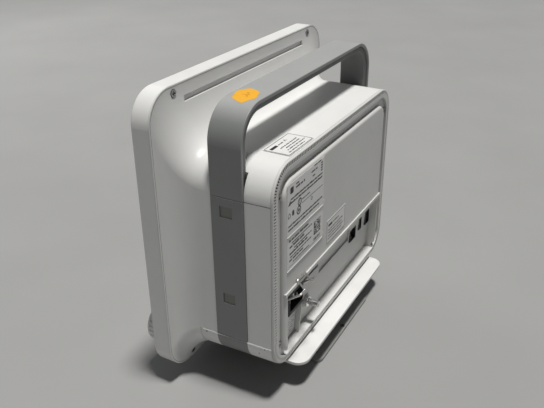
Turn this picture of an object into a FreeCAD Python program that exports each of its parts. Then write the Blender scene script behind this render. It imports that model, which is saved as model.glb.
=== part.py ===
"""Bedside patient monitor, 12-inch class, as an assembly of separate pieces.

Frame: +Z up, the screen faces -Y, +X is to the right of a person who looks at the screen.
The origin is at the middle of the footprint, on the plane the mount plate stands on. Millimetres.
"""
import FreeCAD, Part
import math
import os
import Sketcher
from FreeCAD import Placement, Rotation, Vector

doc = FreeCAD.newDocument("patient_monitor")
nodes = {}

# ---------------------------------------------------------------- driving dimensions
SIZES = {
    # front bezel
    "bezel_half": 150.0, "bezel_low": 12.0, "bezel_top": 273.0, "bezel_round": 27.0,
    "face_y": -54.5, "bezel_rear": -37.0, "bezel_wall": 3.2, "bezel_skin": 4.0,
    # rear housing: a concave flare behind the bezel, then a block that tapers to the rear
    "rim_y": -36.8, "flare_y": -36.0, "block_y": -10.5, "shell": 3.0,
    "block_half": 128.2, "block_low": 31.0, "block_top": 222.2, "block_round": 27.0,
    "rear_y": 53.8, "rear_half": 126.8, "seam_low": 58.0, "seam_high": 193.0, "cover_front": -16.5,
    # handle hoop and the grey band under it
    "band_y0": 0.9, "band_y1": 30.8, "hoop_half": 129.0, "hoop_top": 265.8, "hoop_round": 30.5,
    "hoop_leg": 9.6, "hoop_bar": 8.3, "hoop_skin": 3.3, "tang_low": 170.0,
    # rear cover
    "cover_half": 126.6, "cover_low": 31.4, "cover_top": 221.8, "cover_round": 26.0,
    "strip": 8.0, "strip_y": 56.3, "ring_y": 54.0, "channel_y": 53.5, "cover_y": 50.5,
    "panel_half": 110.5, "panel_low": 39.0, "panel_top": 206.5, "panel_round": 15.0, "panel_y": 57.5,
    "bay_x0": -106.0, "bay_x1": 104.0, "bay_low": 37.6, "bay_top": 102.0, "ledge_y": 58.9,
    # screen
    "glass_half": 138.0, "glass_low": 70.0, "glass_top": 248.0, "glass_thick": 2.2,
    "view_half": 131.5, "view_low": 76.5, "view_top": 241.5,
    # controls
    "key_z": 42.0, "key_wide": 24.0, "key_high": 11.0, "key_gap": 0.35, "key_travel": 1.0,
    "knob_x": 119.0, "knob_round": 19.0, "knob_face": -71.5, "shaft_round": 3.0,
    # mains inlet and its wire bail
    "inlet_x": 82.0, "inlet_z": 84.0, "inlet_wide": 28.0, "inlet_high": 24.0, "inlet_face": 54.5,
    "bail_y": 52.4, "bail_z": 90.0, "wire": 0.9,
    # stand
    "base_half": 100.0, "base_rear": 71.5, "base_front": -22.0, "base_low": 24.5, "base_top": 28.0,
    "plate_half": 61.0, "plate_rear": 70.0, "plate_front": -50.0, "plate_thick": 3.0,
    "plate_mid": 10.0, "hole_pitch": 100.0, "mount_hole": 2.25,
}
FIRST_ROW = 2
sheet = doc.addObject("Spreadsheet::Sheet", "Sheet")


class Dim:
    """A length with its value and the spreadsheet expression that gives it."""

    def __init__(self, value, text):
        self.value = value
        self.text = text

    def __add__(self, other):
        other = dim(other)
        return Dim(self.value + other.value, f"({self.text} + {other.text})")

    def __sub__(self, other):
        other = dim(other)
        return Dim(self.value - other.value, f"({self.text} - {other.text})")

    def __mul__(self, factor):
        other = dim(factor)
        return Dim(self.value * other.value, f"({self.text} * {other.text})")

    def __neg__(self):
        return Dim(-self.value, f"(-1 * {self.text})")

    def __radd__(self, other):
        return dim(other) + self

    def __rsub__(self, other):
        return dim(other) - self


def dim(x):
    return x if isinstance(x, Dim) else Dim(float(x), f"({float(x):.6f})")


class Sizes:
    """The spreadsheet's cells by alias, such as d.bezel_half."""


d = Sizes()
for row, (alias, value) in enumerate(SIZES.items(), start=FIRST_ROW):
    sheet.set(f"A{row}", alias)
    sheet.set(f"B{row}", f"{value}")
    sheet.setAlias(f"B{row}", alias)
    setattr(d, alias, Dim(value, f"Sheet.{alias}"))
doc.recompute()


def bind(obj, prop, length):
    obj.setExpression(prop, dim(length).text)


# ---------------------------------------------------------------- sketch outlines
class Rect:
    """A rectangle in a sketch, with round corners if radius is over zero."""

    def __init__(self, left, right, low, high, radius=0):
        self.left, self.right, self.low, self.high = dim(left), dim(right), dim(low), dim(high)
        self.radius = dim(radius)

    def draw(self, sketch):
        x0, x1, y0, y1 = self.left.value, self.right.value, self.low.value, self.high.value
        r = self.radius.value
        rounded = r > 0
        if not rounded:
            corners = [Vector(x0, y0, 0), Vector(x1, y0, 0), Vector(x1, y1, 0), Vector(x0, y1, 0)]
            lines = [sketch.addGeometry(Part.LineSegment(corners[i], corners[(i + 1) % 4])) for i in range(4)]
            for i in range(4):
                sketch.addConstraint(Sketcher.Constraint("Coincident", lines[i], 2, lines[(i + 1) % 4], 1))
        else:
            ends = [
                (Vector(x0 + r, y0, 0), Vector(x1 - r, y0, 0)), (Vector(x1, y0 + r, 0), Vector(x1, y1 - r, 0)),
                (Vector(x1 - r, y1, 0), Vector(x0 + r, y1, 0)), (Vector(x0, y1 - r, 0), Vector(x0, y0 + r, 0)),
            ]
            centres = [Vector(x1 - r, y0 + r, 0), Vector(x1 - r, y1 - r, 0),
                       Vector(x0 + r, y1 - r, 0), Vector(x0 + r, y0 + r, 0)]
            lines = [sketch.addGeometry(Part.LineSegment(a, b)) for a, b in ends]
            arcs = []
            for i, centre in enumerate(centres):
                circle = Part.Circle(centre, Vector(0, 0, 1), r)
                start = math.pi * (1.5 + 0.5 * i)
                arcs.append(sketch.addGeometry(Part.ArcOfCircle(circle, start, start + math.pi / 2)))
            for i in range(4):
                sketch.addConstraint(Sketcher.Constraint("Tangent", lines[i], 2, arcs[i], 1))
                sketch.addConstraint(Sketcher.Constraint("Tangent", arcs[i], 2, lines[(i + 1) % 4], 1))
            for i in range(3):
                sketch.addConstraint(Sketcher.Constraint("Equal", arcs[i], arcs[i + 1]))
            limit(sketch, Sketcher.Constraint("Radius", arcs[0], r), self.radius)
        for i in (0, 2):
            sketch.addConstraint(Sketcher.Constraint("Horizontal", lines[i]))
            sketch.addConstraint(Sketcher.Constraint("Vertical", lines[i + 1]))
        limit(sketch, Sketcher.Constraint("DistanceY", -1, 1, lines[0], 1, y0), self.low)
        limit(sketch, Sketcher.Constraint("DistanceX", -1, 1, lines[1], 1, x1), self.right)
        limit(sketch, Sketcher.Constraint("DistanceY", -1, 1, lines[2], 1, y1), self.high)
        limit(sketch, Sketcher.Constraint("DistanceX", -1, 1, lines[3], 1, x0), self.left)


class Disc:
    """A circle in a sketch."""

    def __init__(self, x, y, radius):
        self.x, self.y, self.radius = dim(x), dim(y), dim(radius)

    def draw(self, sketch):
        circle = Part.Circle(Vector(self.x.value, self.y.value, 0), Vector(0, 0, 1), self.radius.value)
        geometry = sketch.addGeometry(circle)
        limit(sketch, Sketcher.Constraint("Radius", geometry, self.radius.value), self.radius)
        limit(sketch, Sketcher.Constraint("DistanceX", -1, 1, geometry, 3, self.x.value), self.x)
        limit(sketch, Sketcher.Constraint("DistanceY", -1, 1, geometry, 3, self.y.value), self.y)


class Poly:
    """A closed outline of straight lines through corners, each an (x, y) pair of lengths."""

    def __init__(self, *corners):
        self.corners = [(dim(x), dim(y)) for x, y in corners]

    def draw(self, sketch):
        points = [Vector(x.value, y.value, 0) for x, y in self.corners]
        count = len(points)
        lines = [sketch.addGeometry(Part.LineSegment(points[i], points[(i + 1) % count])) for i in range(count)]
        for i in range(count):
            sketch.addConstraint(Sketcher.Constraint("Coincident", lines[i], 2, lines[(i + 1) % count], 1))
        for line, (x, y) in zip(lines, self.corners):
            limit(sketch, Sketcher.Constraint("DistanceX", -1, 1, line, 1, x.value), x)
            limit(sketch, Sketcher.Constraint("DistanceY", -1, 1, line, 1, y.value), y)


def limit(sketch, constraint, length):
    """Adds a dimension to the sketch and ties it to the spreadsheet."""
    index = sketch.addConstraint(constraint)
    sketch.setExpression(f"Constraints[{index}]", length.text)


# A pad grows along the sketch's normal and a pocket cuts against it. The normal of XZ is -Y.
NORMAL_SIGN = {"XY": 1, "XZ": -1, "YZ": 1}


def new_body(label):
    return doc.addObject("PartDesign::Body", label)


def new_sketch(body, plane, height, outlines):
    """A sketch in one of the body's origin planes, moved to a height along that plane's axis."""
    origin_plane = [f for f in body.Origin.OriginFeatures if f.Role == f"{plane}_Plane"][0]
    sketch = body.newObject("Sketcher::SketchObject", body.Name + "_sketch")
    sketch.AttachmentSupport = [(origin_plane, "")]
    sketch.MapMode = "FlatFace"
    sketch.setExpression(".AttachmentOffset.Base.z", (dim(height) * NORMAL_SIGN[plane]).text)
    for outline in outlines:
        outline.draw(sketch)
    return sketch


def pad(body, plane, low, high, *outlines):
    """Adds material between two heights along the plane's axis. Outlines inside the first are holes."""
    start = low if NORMAL_SIGN[plane] > 0 else high
    feature = body.newObject("PartDesign::Pad", body.Name + "_pad")
    feature.Profile = new_sketch(body, plane, start, outlines)
    bind(feature, "Length", dim(high) - low)
    body.Tip = feature
    return feature


def pocket(body, plane, low, high, *outlines):
    """Takes material away between two heights along the plane's axis."""
    start = high if NORMAL_SIGN[plane] > 0 else low
    feature = body.newObject("PartDesign::Pocket", body.Name + "_pocket")
    feature.Profile = new_sketch(body, plane, start, outlines)
    bind(feature, "Length", dim(high) - low)
    body.Tip = feature
    return feature


def loft(body, kind, sections):
    """An additive or subtractive loft through sketches at growing Y, each section a (y, Rect) pair."""
    sketches = [new_sketch(body, "XZ", y, [rect]) for y, rect in sections]
    feature = body.newObject(f"PartDesign::{kind}Loft", body.Name + "_loft")
    feature.Profile = sketches[0]
    feature.Sections = sketches[1:]
    body.Tip = feature
    return feature


def round_edges(body, radius, wanted, kind="Fillet"):
    """Fillets or chamfers the edges of the body's tip that wanted(edge) accepts."""
    doc.recompute()
    base = body.Tip
    names = [f"Edge{i + 1}" for i, edge in enumerate(base.Shape.Edges) if wanted(edge)]
    if not names:
        raise RuntimeError(f"{body.Label}: no edge to round")
    feature = body.newObject(f"PartDesign::{kind}", body.Name + "_round")
    feature.Base = (base, names)
    bind(feature, "Radius" if kind == "Fillet" else "Size", radius)
    body.Tip = feature
    return feature


def near(a, b, slack=0.01):
    return abs(a - b) < slack


def flat_at(axis, height):
    """Accepts edges that lie wholly at a height along x, y or z."""
    def wanted(edge):
        box = edge.BoundBox
        low, high = {"x": (box.XMin, box.XMax), "y": (box.YMin, box.YMax), "z": (box.ZMin, box.ZMax)}[axis]
        return near(low, dim(height).value, 0.02) and near(high, dim(height).value, 0.02)
    return wanted


def box(name, left, right, front, back, low, high):
    """A Part::Box between six planes."""
    made = doc.addObject("Part::Box", name)
    bind(made, "Length", dim(right) - left)
    bind(made, "Width", dim(back) - front)
    bind(made, "Height", dim(high) - low)
    bind(made, ".Placement.Base.x", left)
    bind(made, ".Placement.Base.y", front)
    bind(made, ".Placement.Base.z", low)
    return made


AXIS_TURN = {
    "X": Rotation(Vector(0, 1, 0), 90), "Y": Rotation(Vector(1, 0, 0), -90), "Z": Rotation(),
}


def cylinder(name, axis, x, y, z, radius, length):
    """A Part::Cylinder that starts at a point and runs along +X, +Y or +Z."""
    made = doc.addObject("Part::Cylinder", name)
    bind(made, "Radius", radius)
    bind(made, "Height", length)
    made.Placement = Placement(Vector(), AXIS_TURN[axis])
    bind(made, ".Placement.Base.x", x)
    bind(made, ".Placement.Base.y", y)
    bind(made, ".Placement.Base.z", z)
    return made


def cut(name, base, *tools):
    made = doc.addObject("Part::Cut", name)
    made.Base = base
    made.Tool = tools[0] if len(tools) == 1 else fuse(name + "_tools", *tools)
    return made


def fuse(name, *pieces):
    made = doc.addObject("Part::MultiFuse", name)
    made.Shapes = list(pieces)
    return made


def group(name, pieces):
    """Several separate solids as one node."""
    made = doc.addObject("Part::Compound", name)
    made.Links = list(pieces)
    return made


def keep(label, obj):
    """Names an object as one node of the assembly."""
    obj.Label = label
    nodes[label] = obj
    return obj


def screw(name, axis_sign, x, y, z, head_round, head_high, shank_round, shank_long, axis="Y"):
    """A cross-recess pan screw with its head's outer face at the point; the shank runs away from it."""
    start = {1: 0, -1: -1}[axis_sign]
    offset = {"X": (1, 0, 0), "Y": (0, 1, 0), "Z": (0, 0, 1)}[axis]

    def along(distance):
        return [dim(c) + distance * o for c, o in zip((x, y, z), offset)]

    head = cylinder(name + "_head", axis, *along(start * head_high), head_round, head_high)
    shank_from = head_high if axis_sign > 0 else -(head_high + shank_long)
    shank = cylinder(name + "_shank", axis, *along(shank_from), shank_round, shank_long)
    depth = 0.55 * head_high
    slot_from = 0 if axis_sign > 0 else -depth
    arm, half = 0.62 * head_round, 0.14 * head_round
    centre = along(slot_from)
    arms = []
    for turn in range(2):
        wide, high = (arm, half) if turn else (half, arm)
        reach = {"X": (depth, wide, high), "Y": (wide, depth, high), "Z": (wide, high, depth)}[axis]
        low = [c if o else c - r for c, o, r in zip(centre, offset, reach)]
        up = [c + r for c, r in zip(centre, reach)]
        arms.append(box(f"{name}_arm{turn}", low[0], up[0], low[1], up[1], low[2], up[2]))
    return cut(name, fuse(name + "_blank", head, shank), *arms)


def axis_of(body, role):
    return [f for f in body.Origin.OriginFeatures if f.Role == f"{role}_Axis"][0]


def in_a_row(body, feature, role, length, count, backwards=False):
    """Repeats a feature along one of the body's axes, evenly over a length."""
    pattern = body.newObject("PartDesign::LinearPattern", body.Name + "_row")
    pattern.Originals = [feature]
    pattern.Direction = (axis_of(body, role), [""])
    bind(pattern, "Length", length)
    pattern.Occurrences = count
    pattern.Reversed = backwards
    body.Tip = pattern
    return pattern


def in_an_arc(body, feature, angle, count, backwards=False):
    """Repeats a feature about the origin of its own sketch, evenly over an angle in degrees."""
    pattern = body.newObject("PartDesign::PolarPattern", body.Name + "_arc")
    pattern.Originals = [feature]
    pattern.Axis = (feature.Profile[0], ["N_Axis"])
    pattern.Angle = angle
    pattern.Occurrences = count
    pattern.Reversed = backwards
    body.Tip = pattern
    return pattern


def block(label, plane, low, high, *outlines, fillet=0):
    """A body that is one padded outline, with its edges at both ends rounded if asked."""
    body = new_body(label)
    pad(body, plane, low, high, *outlines)
    if fillet:
        axis = {"XY": "z", "XZ": "y", "YZ": "x"}[plane]
        ends = [flat_at(axis, low), flat_at(axis, high)]
        round_edges(body, fillet, lambda edge: any(end(edge) for end in ends))
    return keep(label, body)


# ---------------------------------------------------------------- front bezel and screen
bezel_wide = Rect(-d.bezel_half, d.bezel_half, d.bezel_low, d.bezel_top, d.bezel_round)
front_bezel = new_body("front_bezel")
pad(front_bezel, "XZ", d.face_y, d.bezel_rear, bezel_wide)
round_edges(front_bezel, 2.6, flat_at("y", d.face_y))
skin_y = d.face_y + d.bezel_skin
pocket(front_bezel, "XZ", skin_y, d.bezel_rear + 1,
       Rect(d.bezel_wall - d.bezel_half, d.bezel_half - d.bezel_wall, d.bezel_low + d.bezel_wall,
            d.bezel_top - d.bezel_wall, d.bezel_round - d.bezel_wall))
glass_y = d.face_y + d.glass_thick
pocket(front_bezel, "XZ", d.face_y - 1, glass_y, Rect(-d.glass_half, d.glass_half, d.glass_low, d.glass_top, 4))
view = Rect(-d.view_half, d.view_half, d.view_low, d.view_top)
pocket(front_bezel, "XZ", d.face_y, skin_y + 1, view)

ALARM_HALF = 105.0
ALARM_Z = (253.5, 262.5)
pocket(front_bezel, "XZ", d.face_y - 1, skin_y + 1, Rect(-ALARM_HALF, ALARM_HALF, *ALARM_Z, 2))

KEY_X = {"key_silence": -80.0, "key_pause": -49.0, "key_freeze": -18.0, "key_pressure": 13.0, "key_menu": 44.0}
STANDBY_X = -119.0
key_low, key_high = d.key_z - d.key_high * 0.5, d.key_z + d.key_high * 0.5
for x in KEY_X.values():
    pocket(front_bezel, "XZ", d.face_y - 1, skin_y + 1,
           Rect(x - d.key_wide * 0.5, x + d.key_wide * 0.5, key_low, key_high, 2))
STANDBY_ROUND = 9.0
pocket(front_bezel, "XZ", d.face_y - 1, skin_y + 1, Disc(STANDBY_X, d.key_z, STANDBY_ROUND))
LAMP_X = (74.0, 81.0, 88.0)
for x in LAMP_X:
    pocket(front_bezel, "XZ", d.face_y - 1, skin_y + 1, Disc(x, d.key_z, 1.5))
pocket(front_bezel, "XZ", d.face_y - 1, d.face_y + 1, Disc(d.knob_x, d.key_z, d.knob_round + 1.5))
pocket(front_bezel, "XZ", d.face_y - 1, skin_y + 1, Disc(d.knob_x, d.key_z, 4.8))

# Screw posts that run from the bezel's skin to the housing's lip.
LIP_FRONT = -39.6
POST_X, POST_Z = 117.5, (18.6, 266.4)
post_spots = [(sx * POST_X, z) for sx in (-1, 1) for z in POST_Z]
for x, z in post_spots:
    pad(front_bezel, "XZ", skin_y - 0.5, LIP_FRONT - 0.1, Disc(x, z, 3.3))
    pocket(front_bezel, "XZ", skin_y + 1.5, d.bezel_rear, Disc(x, z, 1.9))
keep("front_bezel", front_bezel)

gap = 0.3
block("touch_glass", "XZ", d.face_y, glass_y,
      Rect(gap - d.glass_half, d.glass_half - gap, d.glass_low + gap, d.glass_top - gap, 3.7))
block("display_seal", "XZ", skin_y, skin_y + 1, Rect(-134.5, 134.5, 73.5, 244.5), view)
lcd_front, lcd_back = skin_y + 1, skin_y + 7
block("lcd_panel", "XZ", lcd_front, lcd_back, Rect(-134, 134, 74, 244, 1.5), fillet=0.4)

lcd_bracket = new_body("lcd_bracket")
pad(lcd_bracket, "XZ", lcd_back, lcd_back + 1.5, Rect(-136, 136, 72, 246))
pocket(lcd_bracket, "XZ", lcd_back - 1, lcd_back + 3, Rect(-110, -10, 92, 226, 6))
pocket(lcd_bracket, "XZ", lcd_back - 1, lcd_back + 3, Rect(10, 110, 92, 226, 6))
pad(lcd_bracket, "XZ", lcd_front, lcd_back, Rect(-136, -134.5, 90, 228))
pad(lcd_bracket, "XZ", lcd_front, lcd_back, Rect(134.5, 136, 90, 228))
keep("lcd_bracket", lcd_bracket)

alarm_lens = Rect(gap - ALARM_HALF, ALARM_HALF - gap, ALARM_Z[0] + gap, ALARM_Z[1] - gap, 1.7)
alarm_front = new_body("alarm_lens_front")
pad(alarm_front, "XZ", d.face_y - 0.7, skin_y, alarm_lens)
round_edges(alarm_front, 0.6, flat_at("y", d.face_y - 0.7))
pad(alarm_front, "XZ", skin_y, skin_y + 1.2, Rect(-107, 107, 251.5, 264.5, 2))
keep("alarm_lens_front", alarm_front)

# The alarm board has a row of lamps on both of its sides.
BOARD_Y = (-46.0, -44.4)
LAMP_COUNT = 9
lamp_boxes = [box("alarm_board_sheet", -104, 104, *BOARD_Y, 255.2, 261.8)]
for i in range(LAMP_COUNT):
    x = -92 + 23 * i
    lamp_boxes.append(box(f"alarm_lamp_front{i}", x - 1.8, x + 1.8, BOARD_Y[0] - 1.2, BOARD_Y[0], 257, 260))
    lamp_boxes.append(box(f"alarm_lamp_rear{i}", x - 1.8, x + 1.8, BOARD_Y[1], BOARD_Y[1] + 1.2, 257, 260))
keep("alarm_led_board", fuse("alarm_board", *lamp_boxes))

# ---------------------------------------------------------------- keys
FLANGE_THICK = 1.5
key_front = d.face_y - 0.8
flange_y = skin_y + 0.3


def front_key(label, outline, flange):
    """A key cap that passes through the bezel, with a flange behind the skin that holds it in."""
    body = new_body(label)
    pad(body, "XZ", key_front, flange_y, outline)
    round_edges(body, 0.6, flat_at("y", key_front))
    pad(body, "XZ", flange_y, flange_y + FLANGE_THICK, flange)
    keep(label, body)


for label, x in KEY_X.items():
    half = d.key_wide * 0.5
    cap = Rect(x - half + d.key_gap, x + half - d.key_gap, key_low + d.key_gap, key_high - d.key_gap, 1.65)
    front_key(label, cap, Rect(x - half - 1.5, x + half + 1.5, key_low - 1.5, key_high + 1.5, 2))
front_key("standby_key", Disc(STANDBY_X, d.key_z, STANDBY_ROUND - 0.35), Disc(STANDBY_X, d.key_z, STANDBY_ROUND + 1.6))

# A switch stands behind each key, just out of reach until the key has moved by its travel.
switch_y = flange_y + FLANGE_THICK + d.key_travel + 0.05
key_board = [box("key_board_sheet", -132, 92, switch_y + 1.4, switch_y + 3.0, 33, 52)]
for i, x in enumerate([STANDBY_X, *KEY_X.values()]):
    key_board.append(box(f"switch_case{i}", x - 3, x + 3, switch_y + 0.5, switch_y + 1.5, 39, 45))
    key_board.append(cylinder(f"switch_button{i}", "Y", x, switch_y, d.key_z, 1.6, 0.6))
keep("key_board", fuse("key_board_all", *key_board))

lamps = [cylinder(f"lamp{i}", "Y", x, d.face_y - 0.2, d.key_z, 1.2, switch_y + 1.4 - d.face_y + 0.2)
         for i, x in enumerate(LAMP_X)]
keep("status_lights", group("status_light_pipes", lamps))

# ---------------------------------------------------------------- turn-and-push knob
knob = new_body("trim_knob")
knob_rear = d.face_y - 1.4
pad(knob, "XZ", d.knob_face, knob_rear, Disc(d.knob_x, d.key_z, d.knob_round))
round_edges(knob, 2.2, flat_at("y", d.knob_face))
pocket(knob, "XZ", d.knob_face - 1, d.knob_face + 0.8, Disc(d.knob_x, d.key_z, 13.5))
pocket(knob, "XZ", knob_rear - 6, knob_rear + 1, Disc(d.knob_x, d.key_z, 8.5))
pocket(knob, "XZ", knob_rear - 11, knob_rear, Disc(d.knob_x, d.key_z, d.shaft_round + 0.02))
GRIP_COUNT = 24
groove = new_sketch(knob, "XZ", d.knob_face + 3.2, [Disc(d.knob_round + 0.35, 0, 1.1)])
bind(groove, ".AttachmentOffset.Base.x", d.knob_x)
bind(groove, ".AttachmentOffset.Base.y", d.key_z)
grip = knob.newObject("PartDesign::Pocket", "trim_knob_grip")
grip.Profile = groove
bind(grip, "Length", 9.5)
in_an_arc(knob, grip, 360, GRIP_COUNT)
keep("trim_knob", knob)

SHAFT_REAR = -45.2
block("knob_shaft", "XZ", knob_rear - 10.6, SHAFT_REAR, Disc(d.knob_x, d.key_z, d.shaft_round), fillet=0.4)

# The encoder's case is clamped to the bezel's skin by its bushing and nut.
recess_y = d.face_y + 1
encoder = new_body("encoder_body")
pad(encoder, "XZ", skin_y, -42.6, Rect(d.knob_x - 7, d.knob_x + 7, d.key_z - 7, d.key_z + 7, 1))
pad(encoder, "XZ", recess_y - 3.6, skin_y, Disc(d.knob_x, d.key_z, 4.5))
pocket(encoder, "XZ", recess_y - 5, -43.6, Disc(d.knob_x, d.key_z, d.shaft_round + 0.05))
pocket(encoder, "XZ", -49.0, -44.8, Disc(d.knob_x, d.key_z, 5.9))
keep("encoder_body", encoder)
block("encoder_rotor", "XZ", -48.6, -45.2, Disc(d.knob_x, d.key_z, 5.5),
      Disc(d.knob_x, d.key_z, d.shaft_round + 0.05))

nut = doc.addObject("Part::Prism", "encoder_nut_hex")
nut.Polygon = 6
bind(nut, "Circumradius", 6.4)
bind(nut, "Height", 2)
nut.Placement = Placement(Vector(), AXIS_TURN["Y"])
bind(nut, ".Placement.Base.x", d.knob_x)
bind(nut, ".Placement.Base.y", recess_y - 2)
bind(nut, ".Placement.Base.z", d.key_z)
nut_bore = cylinder("encoder_nut_bore", "Y", d.knob_x, recess_y - 3, d.key_z, 4.8, 4)
keep("encoder_nut", cut("encoder_nut_all", nut, nut_bore))

# ---------------------------------------------------------------- rear housing
FLARE_INSET = {"side": 21.8, "top": 50.8, "low": 19.0}
flare_len = d.block_y - d.flare_y


def flare_section(angle, y_shift=0.0, extra=0.0):
    """An outline on the concave flare: 0 degrees at the bezel, 90 degrees where the block starts."""
    turn = math.radians(angle)
    share = math.sin(turn)
    y = d.flare_y + flare_len * (1 - math.cos(turn)) + y_shift
    side = d.bezel_half - (FLARE_INSET["side"] + extra) * share
    low = d.bezel_low + (FLARE_INSET["low"] + extra) * share
    top = d.bezel_top - (FLARE_INSET["top"] + extra) * share
    return y, Rect(-side, side, low, top, d.bezel_round - extra * share)


def block_outline(inset=0.0, rear=False):
    half = d.rear_half if rear else d.block_half
    drop = 0.4 if rear else 0.0
    return Rect(inset - half, half - inset, d.block_low + inset + drop, d.block_top - inset - drop,
                d.block_round - inset)


housing = new_body("rear_housing")
pad(housing, "XZ", d.rim_y, d.flare_y, bezel_wide)
loft(housing, "Additive", [flare_section(a) for a in (0, 14, 30, 46, 62, 76, 90)])
loft(housing, "Additive", [(d.block_y, block_outline()), (d.rear_y, block_outline(rear=True))])
lip_wall = d.bezel_wall + 0.4
pad(housing, "XZ", LIP_FRONT, d.rim_y,
    Rect(lip_wall - d.bezel_half, d.bezel_half - lip_wall, d.bezel_low + lip_wall, d.bezel_top - lip_wall,
         d.bezel_round - lip_wall))
inner = [flare_section(a, -d.shell.value, d.shell.value) for a in (20, 34, 48, 62, 76, 90)]
pocket(housing, "XZ", LIP_FRONT - 1, inner[0][0], inner[0][1])
loft(housing, "Subtractive", inner)
loft(housing, "Subtractive", [(inner[-1][0], block_outline(d.shell)), (d.rear_y + 1, block_outline(d.shell, True))])

# The bottom of the block is a separate cover, so the housing stops above it.
pocket(housing, "XZ", d.cover_front - 0.3, d.rear_y + 1, Rect(-135, 135, 25, d.seam_low + 0.3))
# A seam groove runs to the rear from the handle's legs on both sides.
for side in (-1, 1):
    pocket(housing, "XZ", d.band_y0, d.rear_y + 1,
           Rect(*sorted((side * 126.0, side * 135.0)), d.seam_high - 0.8, d.seam_high))
# The handle's legs come up through the top corners and its tangs hang inside the side walls.
for side in (-1, 1):
    pocket(housing, "XZ", d.band_y0 - 0.3, d.band_y1 + 0.3,
           Rect(*sorted((side * 119.1, side * 135.0)), d.seam_high, 228))
# The grey band lies in a groove on the right side; the left side is open for the sensor panel.
pocket(housing, "XZ", d.band_y0 - 0.3, d.band_y1 + 0.3, Rect(126.9, 135, d.seam_low, d.seam_high + 1))
PANEL_Y, PANEL_Z = (-6.0, 44.0), (66.0, 168.0)
pocket(housing, "YZ", -135, -120, Rect(*PANEL_Y, *PANEL_Z, 5))
TANG_Z = (176.0, 186.0)
TANG_Y = 15.85
for z in TANG_Z:
    pocket(housing, "YZ", -126.4, 126.4, Disc(TANG_Y, z, 2.3))
# The rear window of the alarm light.
pocket(housing, "XZ", LIP_FRONT - 1, -30, Rect(-ALARM_HALF, ALARM_HALF, 256.4, 261.5))
for x, z in post_spots:
    pocket(housing, "XZ", -37.6, -30, Disc(x, z, 3.6))
    pocket(housing, "XZ", LIP_FRONT - 1, -35, Disc(x, z, 2.0))
keep("rear_housing", housing)

block("alarm_lens_rear", "XZ", LIP_FRONT, -37.3, Rect(gap - ALARM_HALF, ALARM_HALF - gap, 256.6, 261.3))
screws = [screw(f"bezel_screw{i}", -1, x, -35.2, z, 3.2, 2.4, 1.6, 9.5) for i, (x, z) in enumerate(post_spots)]
keep("bezel_screws", group("bezel_screw_set", screws))

# ---------------------------------------------------------------- bottom cover and its grey band
bottom = new_body("bottom_cover")
PROUD = 0.6
loft(bottom, "Additive", [(d.cover_front, block_outline(-PROUD)), (d.rear_y, block_outline(-PROUD, True))])
loft(bottom, "Subtractive", [(d.cover_front - 1, block_outline(d.shell)), (d.rear_y + 1, block_outline(d.shell, True))])
pocket(bottom, "XZ", d.cover_front - 2, d.rear_y + 2, Rect(-135, 135, d.seam_low, 240))
pocket(bottom, "XZ", d.band_y0 - 0.3, d.band_y1 + 0.3, Rect(-126.8, 126.8, 20, 31.6))
COVER_SCREWS = [(sx * 88.0, y) for sx in (-1, 1) for y in (-8.0, 42.0)]
for x, y in COVER_SCREWS:
    pocket(bottom, "XY", 25, 32.6, Disc(x, y, 3.6))
    pocket(bottom, "XY", 30, 36, Disc(x, y, 2.0))
keep("bottom_cover", bottom)

band = new_body("bottom_band")
pad(band, "XZ", d.band_y0, d.band_y1, Rect(-102.5, 102.5, 30.2, 31.6))
keep("bottom_band", band)
screws = [screw(f"cover_screw{i}", 1, x, y, 30.8, 3.2, 1.8, 1.6, 10, axis="Z") for i, (x, y) in enumerate(COVER_SCREWS)]
keep("bottom_screws", group("bottom_screw_set", screws))

# ---------------------------------------------------------------- side band
side_band = new_body("side_band")
band_skin = d.hoop_half - 0.5
pad(side_band, "XZ", d.band_y0, d.band_y1, Rect(126.9, band_skin, d.seam_low + 0.6, d.seam_high - 0.3))
WINDOW_Y = (9.0, 20.5)
WINDOW_Z = ((93.0, 103.0), (175.0, 185.0))
for low, high in WINDOW_Z:
    pocket(side_band, "XZ", *WINDOW_Y, Rect(126, 131, low, high, 0))
keep("side_band", side_band)
pads = [box(f"window_pad{i}", 126.9, 127.7, WINDOW_Y[0] + 0.1, WINDOW_Y[1] - 0.1, low + 0.1, high - 0.1)
        for i, (low, high) in enumerate(WINDOW_Z)]
keep("band_window_pads", group("band_windows", pads))

# ---------------------------------------------------------------- handle
hoop_in_x, hoop_in_z = d.hoop_half - d.hoop_leg, d.hoop_top - d.hoop_bar
core = new_body("handle_core")
CORE_Y = (2.4, 29.3)
pad(core, "XZ", *CORE_Y, Rect(-125.7, 125.7, 130, d.hoop_top - d.hoop_skin, 27.4),
    Rect(-hoop_in_x, hoop_in_x, 140, hoop_in_z, 21.5))
core_ends = [flat_at("y", y) for y in CORE_Y]
round_edges(core, 1.2, lambda edge: any(end(edge) for end in core_ends))
pocket(core, "XZ", d.band_y0 - 1, d.band_y1 + 1, Rect(-140, 140, 100, d.tang_low))
for side in (-1, 1):
    pocket(core, "XZ", d.band_y0 - 1, d.band_y1 + 1,
           Rect(*sorted((side * 123.6, side * 140.0)), 100, d.seam_high + 0.3))
for z in TANG_Z:
    pocket(core, "YZ", -130, 130, Disc(TANG_Y, z, 2.3))
keep("handle_core", core)
hoop = new_body("handle_hoop")
pad(hoop, "XZ", d.band_y0, d.band_y1, Rect(-d.hoop_half, d.hoop_half, 130, d.hoop_top, d.hoop_round),
    Rect(-126.0, 126.0, 140, d.hoop_top - d.hoop_skin, 27.2))
hoop_ends = [flat_at("y", d.band_y0), flat_at("y", d.band_y1)]
round_edges(hoop, 0.8, lambda edge: any(end(edge) for end in hoop_ends))
pocket(hoop, "XZ", d.band_y0 - 1, d.band_y1 + 1, Rect(-140, 140, 100, d.seam_high + 0.3))
keep("handle_hoop", hoop)
screws = []
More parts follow.
